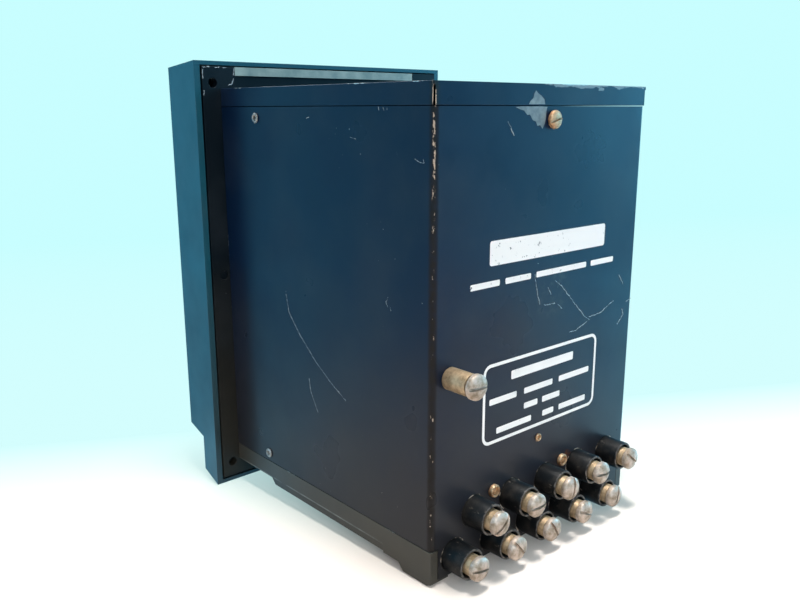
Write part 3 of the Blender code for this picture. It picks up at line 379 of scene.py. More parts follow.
# %% Make the worn paint
BARE_METAL = (0.44, 0.44, 0.41)
DUST = (0.036, 0.046, 0.056)
# A browner tone mixed in towards the foot of the case.
LOW_BROWN = (0.034, 0.028, 0.018)
LOW_BROWN_TOP = 130 * MM
RUBBED_GREY = (0.15, 0.22, 0.26)
CORNER_BROWN = (0.008, 0.0055, 0.0045)
CORNER_METAL = (0.46, 0.38, 0.31)
RUST = (0.110, 0.036, 0.014)
# The pale grey of a painted highlight along the lower edge of the base's skirt.
HIGHLIGHT_GREY = (0.17, 0.19, 0.18)
CORNER_WIDTH = 2.9 * MM


def edge_distance(tree, low, high):
    """Distance from a point on a box's face to the nearest edge of the box."""
    gaps = []
    for place, start, end in zip(axes(tree), low, high):
        gaps.append(abs((end - start) / 2 - abs(place - (start + end) / 2)))
    low_pair = calc("MINIMUM", gaps[0], gaps[1])
    high_pair = calc("MAXIMUM", gaps[0], gaps[1])
    return calc("MAXIMUM", low_pair, calc("MINIMUM", high_pair, gaps[2]))


def spot(tree, spot_x, spot_z, radius):
    """1 at a point of a face across Y, falling to 0 at a radius from it."""
    x, y, z = axes(tree)
    squares = calc("POWER", x - spot_x, 2.0) + calc("POWER", z - spot_z, 2.0)
    return spread(calc("SQRT", squares), 0.0, radius, 1.0, 0.0)


def low_dust(tree):
    """A browner tone that thickens from a level on the case down to its foot."""
    uneven = noise(tree, 30.0, 4.0, 0.6, 11.0) * 0.06 - 0.03
    return spread(axes(tree)[2] + uneven, 0.0, LOW_BROWN_TOP, 0.7, 0.0)


def rubbed_edge(tree, x_low, x_high, y_low, z_low):
    """Pale rubbed patches along the top rear edge, between two places."""
    x, y, z = axes(tree)
    inside = (x > x_low) * (x < x_high) * (y > y_low)
    height = noise(tree, 130.0, 4.0, 0.65, 13.0, (0.5, 0.5, 1.6)) * 0.012 - 0.006
    return inside * spread(z + height, z_low, z_low + 0.4 * MM)


def level_line(tree, level, half_width, y_high, seed):
    """A broken pale line at one level of the sides, up to a place along Y: a painted highlight."""
    x, y, z = axes(tree)
    line = spread(abs(z - level), half_width * 0.5, half_width, 1.0, 0.0)
    return line * (y < y_high) * spread(noise(tree, 90.0, 4.0, 0.6, seed), 0.35, 0.60)


def folded_corner(tree, corner_x, corner_y, band, strong_level, weak_level):
    """A brown strip up a folded corner, and the bright chips in a band on it."""
    x, y, z = axes(tree)
    away = abs(x - corner_x) + abs(y - corner_y)
    ragged = noise(tree, 300.0, 3.0, 0.6, 1.0) * 0.0016 - 0.0008
    fold = spread(away + ragged, CORNER_WIDTH * 0.5, CORNER_WIDTH * 1.1, 1.0, 0.0)
    streaks = noise(tree, 560.0, 4.0, 0.65, 2.0, (1.0, 1.0, 0.40))
    limit = spread(z, weak_level, strong_level, 0.61, 0.50)
    marks = spread(streaks - limit, 0.0, 0.03)
    chips = marks * spread(away + ragged * 0.25, band, band + 0.06 * MM, 1.0, 0.0)
    return fold, chips


def worn_paint(name, colour, roughness, box, reach, specks=0.78, gloss=0.24, seed=0.0, **marks):
    """Satin paint with edge chips, stray specks, dust, a browner tone low down, and optional marks,
    one a painted highlight.
    """
    material, tree, inputs = plain_material(name, colour, roughness)
    inputs["Specular IOR Level"].default_value = gloss
    fine = noise(tree, 520.0, 4.0, 0.62, seed)
    patches = noise(tree, 40.0, 3.0, 0.55, seed + 3.0)
    wander = fine * 4.0 + patches * 12.0 - 9.0
    chipped = spread(wander * reach - edge_distance(tree, *box), 0.0, 0.06 * MM)
    speck = spread(noise(tree, 700.0, 1.0, 0.5, seed + 7.0), specks, specks + 0.03)
    speck_area = spread(noise(tree, 26.0, 2.0, 0.5, seed + 9.0), 0.60, 0.66)
    bare = calc("MAXIMUM", chipped, speck * speck_area)
    dust = spread(noise(tree, 22.0, 5.0, 0.6, seed + 5.0), 0.45, 0.80, 0.0, 0.30)
    if "smudge" in marks:
        cloud = spread(noise(tree, 160.0, 5.0, 0.65, seed + 6.0), 0.45, 0.62)
        dust = calc("MAXIMUM", dust, spot(tree, *marks["smudge"]) * cloud)
    coat = mix_colours(dust, colour, DUST)
    # Browner towards the foot.
    coat = mix_colours(low_dust(tree), coat, LOW_BROWN)
    if "upper_edge" in marks:
        coat = mix_colours(rubbed_edge(tree, *marks["upper_edge"]), coat, RUBBED_GREY)
    # A pale line at one level: a painted highlight along an edge.
    if "worn_line" in marks:
        coat = mix_colours(level_line(tree, *marks["worn_line"], seed + 4.0), coat, HIGHLIGHT_GREY)
    if "rust" in marks:
        near = spread(spot(tree, *marks["rust"]), 0.0, 0.35)
        grain = spread(noise(tree, 420.0, 4.0, 0.6, seed + 8.0), 0.42, 0.58)
        coat = mix_colours(near * grain, coat, RUST)
    if "corner" in marks:
        fold, chips = folded_corner(tree, *marks["corner"])
        coat = mix_colours(fold, coat, CORNER_BROWN)
        coat = mix_colours(chips, coat, CORNER_METAL)
    give(inputs["Base Color"], mix_colours(bare, coat, BARE_METAL))
    uneven = noise(tree, 30.0, 3.0, 0.6, seed + 1.0)
    give(inputs["Roughness"], spread(uneven, 0.3, 0.7, roughness - 0.07, roughness + 0.10))
    give(inputs["Metallic"], bare * 0.8)
    grain = noise(tree, 1500.0, 2.0, 0.5, seed + 2.0)
    add_bump(tree, inputs, grain * 0.35 - bare, 0.35, 0.08 * MM)
    return material


# %% [markdown]
# ## Finer copies of the large pieces
#
# A folded or moulded edge is never perfectly sharp, and the thin bright line
# along it is most of what makes metal look like metal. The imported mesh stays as
# it is. A copy is welded, its flat triangles are joined, and a Bevel modifier
# rounds every edge sharper than 30 degrees. Weighted Normal then keeps the
# large faces flat next to the rounding. The copy stands for the piece.

# %% Helpers for the copies


def baked(item):
    """The evaluated mesh of an object, with its modifiers applied."""
    graph = bpy.context.evaluated_depsgraph_get()
    return bpy.data.meshes.new_from_object(item.evaluated_get(graph), depsgraph=graph)


def finished_mesh(name, shape):
    """Turn a bmesh into a mesh and free it."""
    mesh = bpy.data.meshes.new(name)
    shape.to_mesh(mesh)
    shape.free()
    return mesh


def settle(item, body, slot_name, *replaced):
    """Let a piece ride on a body and hide the CAD nodes it stands for. slot_name is not used."""
    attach(item, body)
    if replaced:
        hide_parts(*replaced)
    print(item.name, "faces:", len(item.data.polygons))


def finer_copy(node, material, slot_name, body="case", width=0.5, segments=2):
    """A bevelled copy of a CAD node that stands for it."""
    name = node + "_fine"
    welded = bmesh.new()
    welded.from_mesh(nodes[node].data)
    bmesh.ops.remove_doubles(welded, verts=welded.verts, dist=0.001 * MM)
    bmesh.ops.dissolve_limit(
        welded,
        angle_limit=math.radians(0.5),
        verts=welded.verts,
        edges=welded.edges,
    )
    item = add_object(name, finished_mesh(name, welded))
    bevel = item.modifiers.new("soft_edges", "BEVEL")
    bevel.width = width * MM
    bevel.segments = segments
    bevel.limit_method = "ANGLE"
    bevel.angle_limit = math.radians(30)
    item.data.shade_smooth()
    item.data.set_sharp_from_angle(angle=math.radians(50))
    even = item.modifiers.new("even_shading", "WEIGHTED_NORMAL")
    even.weight = 100
    even.keep_sharp = True
    item.data = baked(item)
    item.modifiers.clear()
    item.data.materials.clear()
    item.data.materials.append(material)
    settle(item, body, slot_name, node)


# %% [markdown]
# The case shell is one sheet folded round the rear corners, and the lid has its
# skirts folded down over it. Both have the same paint. The chips need to know
# each piece's box, so each gets its own material from the same recipe. The
# shell's upper edge is under the lid and isn't worn, so its box is taken higher.

# %% Dress the steel case
PAINT = (0.0012, 0.0100, 0.0330)
PAINT_ROUGHNESS = 0.32
CORNER_STRONG = 196 * MM
CORNER_WEAK = 150 * MM

CAP_SKIRT = 8.8 * MM
SHELL_CHIP_BAND = 1.64 * MM
CAP_CHIP_BAND = 1.05 * MM

shell_low, shell_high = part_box("case_shell")
cap_low, cap_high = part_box("top_cap")
rust_low, rust_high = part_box("block_screw_2")
shell_paint = worn_paint(
    "shell_paint",
    PAINT,
    PAINT_ROUGHNESS,
    (shell_low, shell_high + Vector((0.0, 0.0, CAP_SKIRT))),
    0.30 * MM,
    corner=(shell_high.x, shell_high.y, SHELL_CHIP_BAND, CORNER_STRONG, CORNER_WEAK),
    smudge=(-5.0 * MM, 123.0 * MM, 16.0 * MM),
    rust=(rust_low.x - 1.6 * MM, (rust_low.z + rust_high.z) / 2, 4.0 * MM),
)
cap_paint = worn_paint(
    "cap_paint",
    PAINT,
    PAINT_ROUGHNESS,
    (cap_low, cap_high),
    0.34 * MM,
    seed=4.0,
    corner=(cap_high.x, cap_high.y, CAP_CHIP_BAND, CORNER_STRONG, CORNER_WEAK),
    upper_edge=(cap_low.x, 6.0 * MM, cap_high.y - 1.4 * MM, cap_high.z - 1.0 * MM),
)
finer_copy("case_shell", shell_paint, "painted_steel", width=0.25)
finer_copy("top_cap", cap_paint, "painted_steel", width=0.45, segments=3)

# %% [markdown]
# The base and the cover are moulded, greyer and a little duller than the paint.
# The base's skirt ends in a pale line, a painted highlight along its edge, with a dark rail below it.
# The flange is cast and painted black. It stands in the cover's shade, and its
# pads are chipped at their rims.

# %% Dress the base, the flange and the cover
MOULDING = (0.004, 0.066, 0.100)
BASE_MOULDING = (0.086, 0.087, 0.079)
# Level, half width and end of the pale line on the skirt, a painted highlight.
PAN_HIGHLIGHT = (13.0 * MM, 0.5 * MM, 59.2 * MM)
FLANGE_PAINT = (0.0008, 0.0040, 0.0070)

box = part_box("bottom_pan")
base_finish = worn_paint(
    "base_finish", BASE_MOULDING, 0.42, box, 0.12 * MM, 0.78, 0.35, 8.0, worn_line=PAN_HIGHLIGHT
)
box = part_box("mounting_flange")
flange_finish = worn_paint("flange_finish", FLANGE_PAINT, 0.5, box, 0.50 * MM, 0.76, 0.18, 12.0)
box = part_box("cover_frame")
cover_finish = worn_paint("cover_finish", MOULDING, 0.36, box, 0.06 * MM, 0.82, 0.5, 16.0)
finer_copy("bottom_pan", base_finish, "black_moulding", width=0.6)
finer_copy("mounting_flange", flange_finish, "cast_flange", width=0.35)
finer_copy("cover_frame", cover_finish, "black_moulding", "cover", width=0.8, segments=3)

# %% [markdown]
# ## Turned pieces set out by Geometry Nodes
#
# Ten barrels, ten sleeves, eleven large screws, three small screws and five
# rivets are all turned shapes that repeat. Each shape is turned once from a
# short profile with Spin. A Geometry Nodes tree then puts a copy on each point
# of a small mesh, turns it by the angle stored on that point, and cuts the
# screwdriver slot first where the piece has one. A random turn would also do,
# but the stored angles let each slot lie as it does in the picture.

# %% Turn a profile


def rows(start, *pairs):
    """Profile points from pairs of millimetres: past a start along Y, and radius."""
    return [(start + along * MM, radius * MM) for along, radius in pairs]


def turned(name, profile, facets):
    """Spin a profile of (distance along Y, radius) pairs about the Y axis."""
    outline = bmesh.new()
    verts = [outline.verts.new((radius, along, 0.0)) for along, radius in profile]
    for first, second in zip(verts, verts[1:]):
        outline.edges.new((first, second))
    bmesh.ops.spin(
        outline,
        geom=outline.verts[:] + outline.edges[:],
        axis=(0.0, 1.0, 0.0),
        cent=(0.0, 0.0, 0.0),
        angle=2 * math.pi,
        steps=facets,
        use_merge=True,
    )
    bmesh.ops.remove_doubles(outline, verts=outline.verts, dist=0.002 * MM)
    bmesh.ops.recalc_face_normals(outline, faces=outline.faces)
    return add_object(name, finished_mesh(name, outline))


# %% Helpers that build a Geometry Nodes tree


def start_tree(name, **named):
    """A tree with named inputs of given kinds, and the sockets they arrive at."""
    tree = bpy.data.node_groups.new(name, "GeometryNodeTree")
    for label, kind in {"Geometry": "Geometry", **named}.items():
        label = label.replace("_", " ")
        tree.interface.new_socket(label, in_out="INPUT", socket_type="NodeSocket" + kind)
    tree.interface.new_socket("Geometry", in_out="OUTPUT", socket_type="NodeSocketGeometry")
    return tree, tree.nodes.new("NodeGroupInput").outputs


def step(tree, kind, given, output=0, **settings):
    """Add a node with its settings and inputs, and return one of its outputs."""
    node = tree.nodes.new(kind)
    for name, value in settings.items():
        setattr(node, name, value)
    for name, value in given.items():
        if isinstance(value, bpy.types.NodeSocket):
            tree.links.new(value, node.inputs[name])
        else:
            node.inputs[name].default_value = value
    return node.outputs[output]


def end_tree(tree, geometry, finish):
    """Make the instances real, set the material and pass the result out."""
    real = step(tree, "GeometryNodeRealizeInstances", {"Geometry": geometry})
    done = step(tree, "GeometryNodeSetMaterial", {"Geometry": real, "Material": finish})
    tree.links.new(done, tree.nodes.new("NodeGroupOutput").inputs["Geometry"])
    return tree


# %% Build the tree that sets pieces on points


def build_setting_tree():
    """Instances of a piece on points, with a slot cut and a stored turn."""
    tree, given = start_tree(
        "set_on_points",
        Piece="Object",
        Slot_Width="Float",
        Slot_Depth="Float",
        Top="Float",
        Reach="Float",
        Finish="Material",
    )
    piece = step(tree, "GeometryNodeObjectInfo", {"Object": given["Piece"]}, "Geometry")
    sides = {"X": given["Reach"], "Y": given["Slot Depth"], "Z": given["Slot Width"]}
    size = step(tree, "ShaderNodeCombineXYZ", sides)
    cutter = step(tree, "GeometryNodeMeshCube", {"Size": size}, "Mesh")
    place = step(tree, "ShaderNodeCombineXYZ", {"Y": given["Top"]})
    moved = step(tree, "GeometryNodeTransform", {"Geometry": cutter, "Translation": place})
    pair = {"Mesh 1": piece, "Mesh 2": moved}
    cut = {"operation": "DIFFERENCE", "solver": "EXACT"}
    slotted = step(tree, "GeometryNodeMeshBoolean", pair, "Mesh", **cut)
    width = {"A": given["Slot Width"]}
    has_slot = step(tree, "FunctionNodeCompare", width, "Result", operation="GREATER_THAN")
    choice = {"Switch": has_slot, "False": piece, "True": slotted}
    chosen = step(tree, "GeometryNodeSwitch", choice, "Output", input_type="GEOMETRY")
    stored = {"data_type": "FLOAT_VECTOR"}
    turn = step(tree, "GeometryNodeInputNamedAttribute", {"Name": "turn"}, "Attribute", **stored)
    layout = {"Points": given["Geometry"], "Instance": chosen, "Rotation": turn}
    placed = step(tree, "GeometryNodeInstanceOnPoints", layout, "Instances")
    return end_tree(tree, placed, given["Finish"])


setting_tree = build_setting_tree()
print("nodes in the tree:", len(setting_tree.nodes))

# %% [markdown]
# A modifier stores a tree's inputs by identifier, such as Socket_3, not by the
# name that a person reads, so this helper looks the identifier up by name and
# sets every input before the object is first evaluated. The result becomes a
# plain mesh, and the point mesh with its modifier is thrown away.

# %% Apply a tree and keep its result


def run_tree(name, points_mesh, tree, values):
    """Evaluate a tree on a mesh and return the result as a plain object."""
    source = add_object(name + "_points", points_mesh)
    modifier = source.modifiers.new("layout", "NODES")
    modifier.node_group = tree
    for item in tree.interface.items_tree:
        if item.item_type == "SOCKET" and item.in_out == "INPUT" and item.name in values:
            modifier[item.identifier] = values[item.name]
    source.update_tag()
    result = add_object(name, baked(source))
    bpy.data.objects.remove(source, do_unlink=True)
    return result


def set_out(name, profile, places, finish, replaced=(), turns=None, slot=(0, 0, 0, 0), facets=40):
    """Turn a profile, set it on points and let it stand for its CAD nodes."""
    points = plain_mesh(name, places)
    stored = points.attributes.new("turn", "FLOAT_VECTOR", "POINT")
    for index, turn in enumerate(turns or [(0.0, 0.0, 0.0)] * len(places)):
        stored.data[index].vector = turn
    shape = turned(name + "_shape", profile, facets)
    width, depth, top, reach = slot
    material, slot_name = finish
    values = {
        "Piece": shape,
        "Slot Width": float(width),
        "Slot Depth": 2.0 * depth,
        "Top": float(top),
        "Reach": 2.0 * reach,
        "Finish": material,
    }
    item = run_tree(name, points, setting_tree, values)
    bpy.data.objects.remove(shape, do_unlink=True)
    item.data.shade_smooth()
    item.data.set_sharp_from_angle(angle=math.radians(38))
    settle(item, "case", slot_name, *replaced)


# %% [markdown]
# ## The terminals
#
# Each terminal is a moulded barrel with a plated sleeve in it and a slotted
# screw in the sleeve. The barrels keep wires apart. Their places are read from
# the sleeves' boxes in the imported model, so nothing is typed twice.

# %% Find the terminals and the back
TERMINAL_NUMBERS = [f"{number:02d}" for number in range(1, 11)]
rear_y = shell_high.y
screw_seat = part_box("terminal_sleeve_01")[1].y


def middle(node):
    """Centre of a node's box in X and Z, at Y = 0."""
    low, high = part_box(node)
    return ((low.x + high.x) / 2, 0.0, (low.z + high.z) / 2)


terminal_places = [middle("terminal_sleeve_" + number) for number in TERMINAL_NUMBERS]
print("back at", round(rear_y / MM, 1), "mm, terminals:", len(terminal_places))

# %% [markdown]
# The moulding is near black and a little brown. Its rims are grey, partly worn and dusty and partly a
# painted highlight along the mouth's edge, which the material takes from the Y coordinate of the
# barrel mouths.

# %% Make the moulding and metal finishes
TERMINAL_BLACK = (0.0045, 0.0045, 0.0050)
# Grey of the barrel mouths, partly wear and partly a painted highlight.
RIM_GREY_AND_HIGHLIGHT = (0.13, 0.12, 0.11)
BARREL_DUST = (0.050, 0.042, 0.035)
BARREL_SCUFF = (0.11, 0.095, 0.080)
HOLE_METAL = (0.42, 0.36, 0.30)
BARREL_LENGTH = 11.5 * MM


def terminal_moulding():
    """Black moulding with dust on it, and grey rims that are partly worn and partly a painted
    highlight.
    """
    material, tree, inputs = plain_material("terminal_moulding", TERMINAL_BLACK, 0.45)
    inputs["Specular IOR Level"].default_value = 0.22
    ragged = noise(tree, 500.0, 3.0, 0.6) * 0.0020 - 0.0010
    along = axes(tree)[1] + ragged
    # Grey round each mouth: partly worn and dusty, partly a painted highlight on the rim.
    rim = spread(along, mouth - 0.4 * MM, mouth + 0.1 * MM, 0.0, 0.95)
    dust = spread(noise(tree, 150.0, 5.0, 0.65, 2.0), 0.46, 0.74, 0.0, 0.55)
    dusty = mix_colours(dust, TERMINAL_BLACK, BARREL_DUST)
    scuff = spread(noise(tree, 420.0, 4.0, 0.65, 8.0, (1.0, 0.35, 1.0)), 0.63, 0.68, 0.0, 0.8)
    scuffed = mix_colours(scuff, dusty, BARREL_SCUFF)
    give(inputs["Base Color"], mix_colours(rim, scuffed, RIM_GREY_AND_HIGHLIGHT))
    give(inputs["Roughness"], spread(noise(tree, 90.0, 3.0), 0.3, 0.7, 0.38, 0.56))
    return material


def aged_plate(name, bright, dull, roughness=0.36, seed=0.0):
    """Plated metal with duller, darker patches and fine scoring."""
    material, tree, inputs = plain_material(name, bright, roughness, 0.55)
    patch = spread(noise(tree, 260.0, 4.0, 0.65, seed), 0.38, 0.66)
    give(inputs["Base Color"], mix_colours(patch, bright, dull))
    give(inputs["Roughness"], spread(patch, 0.0, 1.0, roughness, roughness + 0.22))
    add_bump(tree, inputs, noise(tree, 1300.0, 2.0, 0.6, seed), 0.25, 0.06 * MM)
    return material


def mottled(name, first, second, roughness, grain, limits, metallic=0.0, relief=None):
    """A finish that wavers between two colours, with a relief where one is given."""
    material, tree, inputs = plain_material(name, first, roughness, metallic)
    share = spread(noise(tree, *grain), *limits)
    give(inputs["Base Color"], mix_colours(share, first, second))
    if relief:
        grain, strength, distance = relief
        add_bump(tree, inputs, noise(tree, *grain), strength, distance * MM)
    return material


mouth = rear_y + BARREL_LENGTH
barrel_finish = terminal_moulding()
moulded = (barrel_finish, "terminal_moulding")
sleeve_plate = aged_plate("tan_sleeve", (0.54, 0.38, 0.23), (0.26, 0.17, 0.09), 0.50, 1.0)
sleeve_finish = (sleeve_plate, "plated_brass")
head_plate = aged_plate("worn_plate", (0.62, 0.50, 0.42), (0.30, 0.22, 0.15), 0.46)
head_finish = (head_plate, "plated_brass")
brass = aged_plate("tarnished_brass", (0.66, 0.42, 0.24), (0.26, 0.10, 0.035), 0.40, 3.0)
rivet_metal = aged_plate("rivet_metal", (0.46, 0.46, 0.44), (0.18, 0.16, 0.14), 0.42, 6.0)

# %% Make the barrels and their bar
BAR_GAP = 1.9 * MM
BAR_BEVEL = 0.6 * MM

barrel_profile = (
    rows(rear_y, (-2.5, 0.0), (-2.5, 7.0))
    + rows(mouth, (-0.5, 7.0), (-0.12, 6.85), (0.0, 6.5), (-0.1, 6.0), (-0.5, 5.8))
    + rows(rear_y, (1.5, 5.8), (1.5, 0.0))
)
set_out("terminal_barrels", barrel_profile, terminal_places, moulded, ["terminal_block"], facets=48)

bar_low, bar_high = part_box("terminal_block")
bar_rear = rear_y - BAR_GAP
bar_shape = bmesh.new()
bmesh.ops.create_cube(bar_shape, size=1.0)
for vert in bar_shape.verts:
    share = vert.co + Vector((0.5, 0.5, 0.5))
    vert.co.x = bar_low.x + share.x * (bar_high.x - bar_low.x)
    vert.co.y = bar_low.y + share.y * (bar_rear - bar_low.y)
    vert.co.z = bar_low.z + share.z * (bar_high.z - bar_low.z)
bmesh.ops.bevel(bar_shape, geom=bar_shape.edges[:], offset=BAR_BEVEL, segments=2, affect="EDGES")
bar = add_object("terminal_bar", finished_mesh("terminal_bar", bar_shape))
bar.data.materials.append(barrel_finish)
settle(bar, "case", "terminal_moulding", "terminal_block")

# %% [markdown]
# A sleeve is a plated tube whose edge is turned over. A screw has a low domed
# head with a soft shoulder. The angle of each slot follows the picture, from
# the near end of the upper row to the far end of the lower one.

# %% Make the sleeves and terminal screws
HEAD_LIFT = 0.6 * MM
SCREW_GAP = 0.3 * MM
SLOT_TURNS = (36, 2, 80, -5, -41, -9, -50, -60, -22, 70)

sleeve_end = screw_seat + HEAD_LIFT
sleeve_profile = (
    rows(rear_y, (1.8, 0.0), (1.8, 4.7))
    + rows(sleeve_end, (-0.5, 4.7), (-0.15, 4.55), (0.0, 4.2))
    + rows(sleeve_end, (0.0, 2.4), (-2.0, 2.4), (-2.0, 0.0))
)
sleeve_nodes = ["terminal_sleeve_" + number for number in TERMINAL_NUMBERS]
set_out("terminal_sleeves", sleeve_profile, terminal_places, sleeve_finish, sleeve_nodes)


def screw_profile(seat, radius, height, shank):
    """A shank stub, a flat seat, a short straight side and a low dome."""
    edge = 0.06 * radius
    side = seat + 0.60 * height
    profile = [(seat - shank[1], 0.0), (seat - shank[1], shank[0]), (seat, shank[0])]
    profile += [(seat, radius - edge), (seat + edge, radius), (side - edge, radius)]
    profile.append((side, radius - 0.4 * edge))
    for share in (0.1, 0.3, 0.5, 0.7, 0.9):
        rise = 0.40 * height * math.sqrt(1 - (1 - share) ** 2)
        profile.append((side + rise, radius * (0.93 - 0.85 * share)))
    profile.append((seat + height, 0.0))
    return profile


def set_screws(name, places, finish, replaced, seat, sizes, turns, facets):
    """Screws from sizes in millimetres, with each slot's angle in degrees."""
    radius, height, shank_radius, shank_length, width, depth = [size * MM for size in sizes]
    set_out(
        name,
        screw_profile(seat, radius, height, (shank_radius, shank_length)),
        places,
        finish,
        replaced,
        turns=[(0.0, math.radians(turn), 0.0) for turn in turns],
        slot=(width, depth, seat + height, radius + MM),
        facets=facets,
    )


# Head radius and height, shank radius and length, slot width and depth.
BIG_SCREW = (5.4, 3.8, 2.1, 1.8, 1.3, 1.6)
LID_SCREW = (3.9, 2.6, 2.0, 4.0, 0.9, 1.0)
screw_base = sleeve_end + SCREW_GAP
screw_nodes = ["terminal_screw_" + number for number in TERMINAL_NUMBERS]
set_screws(
    "terminal_screws",
    terminal_places,
    head_finish,
    screw_nodes,
    screw_base,
    BIG_SCREW,
    SLOT_TURNS,
    48,
)

# %% [markdown]
# The edges of the holes that the barrels come through are rubbed to bare metal
# here and there. A washer-thin ring round each barrel carries that wear.

# %% Make the rubbed hole edges
rubs = (210.0, 3.0, 0.6, 21.0)
hole_wear = mottled("hole_wear", CORNER_BROWN, HOLE_METAL, 0.4, rubs, (0.52, 0.58))
ring_profile = rows(rear_y, (-0.05, 7.25), (-0.05, 7.7), (0.04, 7.7), (0.04, 7.25), (-0.05, 7.25))
set_out("hole_edges", ring_profile, terminal_places, (hole_wear, "painted_steel"), facets=48)

# %% [markdown]
# ## The ground post and the small fasteners
#
# The ground post is plated like the sleeves, and its head is one with the same
# kind of screw. The lid's screw and the two beside the upper terminals are
# brass that has gone brown. Those two have cupped heads, so each shows a bright
# ring round a darker hollow.

# %% Make the ground post and the brass screws
GROUND_GAP = 0.9 * MM

post_low, post_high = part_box("ground_post")
post_place = [middle("ground_post")]
post = (post_high.x - post_low.x) / 2 / MM
post_mouth = post_high.y
post_profile = (
    rows(post_low.y, (0.0, 0.0), (0.0, post))
    + rows(rear_y, (-1.9, post), (-1.9, 3.0), (0.3, 3.0), (0.3, post - 0.3), (0.7, post))
    + rows(post_mouth, (-1.0, post), (-0.3, post - 0.25), (0.0, post - 1.0))
    + rows(post_mouth, (0.0, 2.4), (-2.0, 2.4), (-2.0, 0.0))
)
set_out("ground_post_fine", post_profile, post_place, sleeve_finish, ["ground_post"], facets=48)
ground_base = post_mouth + GROUND_GAP
set_screws(
    "ground_screw_fine",
    post_place,
    head_finish,
    ["ground_screw"],
    ground_base,
    BIG_SCREW,
    [-2],
    48,
)

small_seat = rear_y + SCREW_GAP
brass_finish = (brass, "tarnished_brass")
set_screws(
    "rear_screw_fine",
    [middle("rear_screw")],
    brass_finish,
    ["rear_screw"],
    small_seat,
    LID_SCREW,
    [16],
    40,
)
cup_profile = (
    rows(small_seat, (-5.0, 0.0), (-5.0, 1.6), (0.0, 1.6), (0.0, 3.0), (1.3, 3.0))
    + rows(small_seat, (1.75, 2.75), (1.85, 2.35), (1.6, 1.95), (0.7, 1.7), (0.7, 0.9), (1.2, 0.0))
)
block_screws = ["block_screw_1", "block_screw_2"]
block_places = [middle(node) for node in block_screws]
set_out("block_screws_fine", cup_profile, block_places, brass_finish, block_screws)

# %% [markdown]
# A rivet's visible end is a rolled ring round a dimple. The five rivets use the
# same tree. The side rivets lie along X, so their points store a quarter turn.

# %% Make the rivets
RIVET_RING = 0.8 * MM
RIVET_SHANK = 1.5


def rivet_profile(outer, length, head):
    """From the inner head to the rolled ring outside, along +Y."""
    inner = outer - length
    return (
        rows(inner, (0.0, 0.0), (0.0, head), (0.8, head), (0.8, RIVET_SHANK))
        + rows(outer, (0.0, RIVET_SHANK), (0.0, head), (0.35, head), (0.7, head * 0.84))
        + rows(outer, (0.75, head * 0.68), (0.45, head * 0.52), (-0.6, head * 0.44), (-0.6, 0.0))
    )


rivet_low, rivet_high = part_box("rear_rivet")
rear_outer = rivet_high.y - RIVET_RING
rear_profile = rivet_profile(rear_outer, rear_outer - rivet_low.y, 1.9)
rear_finish = (brass, "rivet_steel")
rear_place = [middle("rear_rivet")]
set_out("rear_rivet_fine", rear_profile, rear_place, rear_finish, ["rear_rivet"], facets=28)

side_nodes = []
side_places = []
side_turns = []
for side in ("left", "right"):
    for level in ("upper", "lower"):
        node = f"side_rivet_{side}_{level}"
        low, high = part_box(node)
        away = 1 if high.x > 0 else -1
        outer_x = (high.x if away > 0 else low.x) - away * RIVET_RING
        side_nodes.append(node)
        side_places.append((outer_x, (low.y + high.y) / 2, (low.z + high.z) / 2))
        side_turns.append((0.0, 0.0, math.radians(-90 * away)))
low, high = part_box(side_nodes[0])
side_profile = rivet_profile(0.0, high.x - low.x - RIVET_RING, 2.4)
side_finish = (rivet_metal, "rivet_steel")
set_out("side_rivets_fine", side_profile, side_places, side_finish, side_nodes, side_turns, facets=28)

# %% [markdown]
# ## The print on the back
#
# The real back carries white print. Here its places hold plain white shapes
# only: a bar, a row of short bars and a rounded frame with bars in it. Each is
# a thin plate, three hundredths of a millimetre thick, on the paint. An outline
# helper rounds the corners, and one mesh holds them all.

# %% Make the print
PRINT_LIFT = 0.05 * MM
PRINT_THICKNESS = 0.03 * MM
PRINT_WHITE = (0.86, 0.86, 0.86)
PRINT_WORN = (0.10, 0.12, 0.14)
FRAME_BOX = (40.2, -41.2, 60.6, 97.6)
FRAME_LINE = 1.5
FRAME_CORNER = 4.5
TITLE_BAR = (38.0, -43.0, 140.5, 151.0)
SUBTITLE_BARS = ((49.4, 31.4), (27.8, 11.0), (7.2, -29.4), (-33.0, -51.2))
SUBTITLE_LEVEL = (131.6, 134.2)
LABEL_BARS = (
    (22.0, -22.6, 87.8, 91.8),
    (36.0, 18.0, 78.8, 81.6),
    (12.8, -7.6, 78.8, 81.6),
    (-12.4, -35.8, 78.8, 81.6),
    (12.6, 3.0, 71.6, 74.4),
    (-0.4, -13.4, 71.6, 74.4),
    (31.0, 7.2, 64.6, 67.4),
    (-1.0, -9.2, 64.6, 67.4),
    (-13.2, -34.0, 64.6, 67.4),
)


def rounded_outline(left, right, foot, top, radius, steps=6):
    """Points of a rounded rectangle in X and Z, in millimetres."""
    points = []
    low_x, high_x = min(left, right), max(left, right)
    centres = (
        (high_x - radius, top - radius, 0),
        (low_x + radius, top - radius, 90),
        (low_x + radius, foot + radius, 180),
        (high_x - radius, foot + radius, 270),
    )
    for x, z, start in centres:
        for part in range(steps + 1):
            angle = math.radians(start + 90 * part / steps)
            points.append((x + radius * math.cos(angle), z + radius * math.sin(angle)))
    return points


def add_plate(shape, outline, inner=None):
    """Add a flat plate, or a flat ring if an inner outline is given."""
    y = rear_y + PRINT_LIFT
    outer = [shape.verts.new((x * MM, y, z * MM)) for x, z in outline]
    if inner is None:
        shape.faces.new(reversed(outer))
        return
    hollow = [shape.verts.new((x * MM, y, z * MM)) for x, z in inner]
    for index in range(len(outer)):
        after = (index + 1) % len(outer)
        shape.faces.new((outer[index], hollow[index], hollow[after], outer[after]))


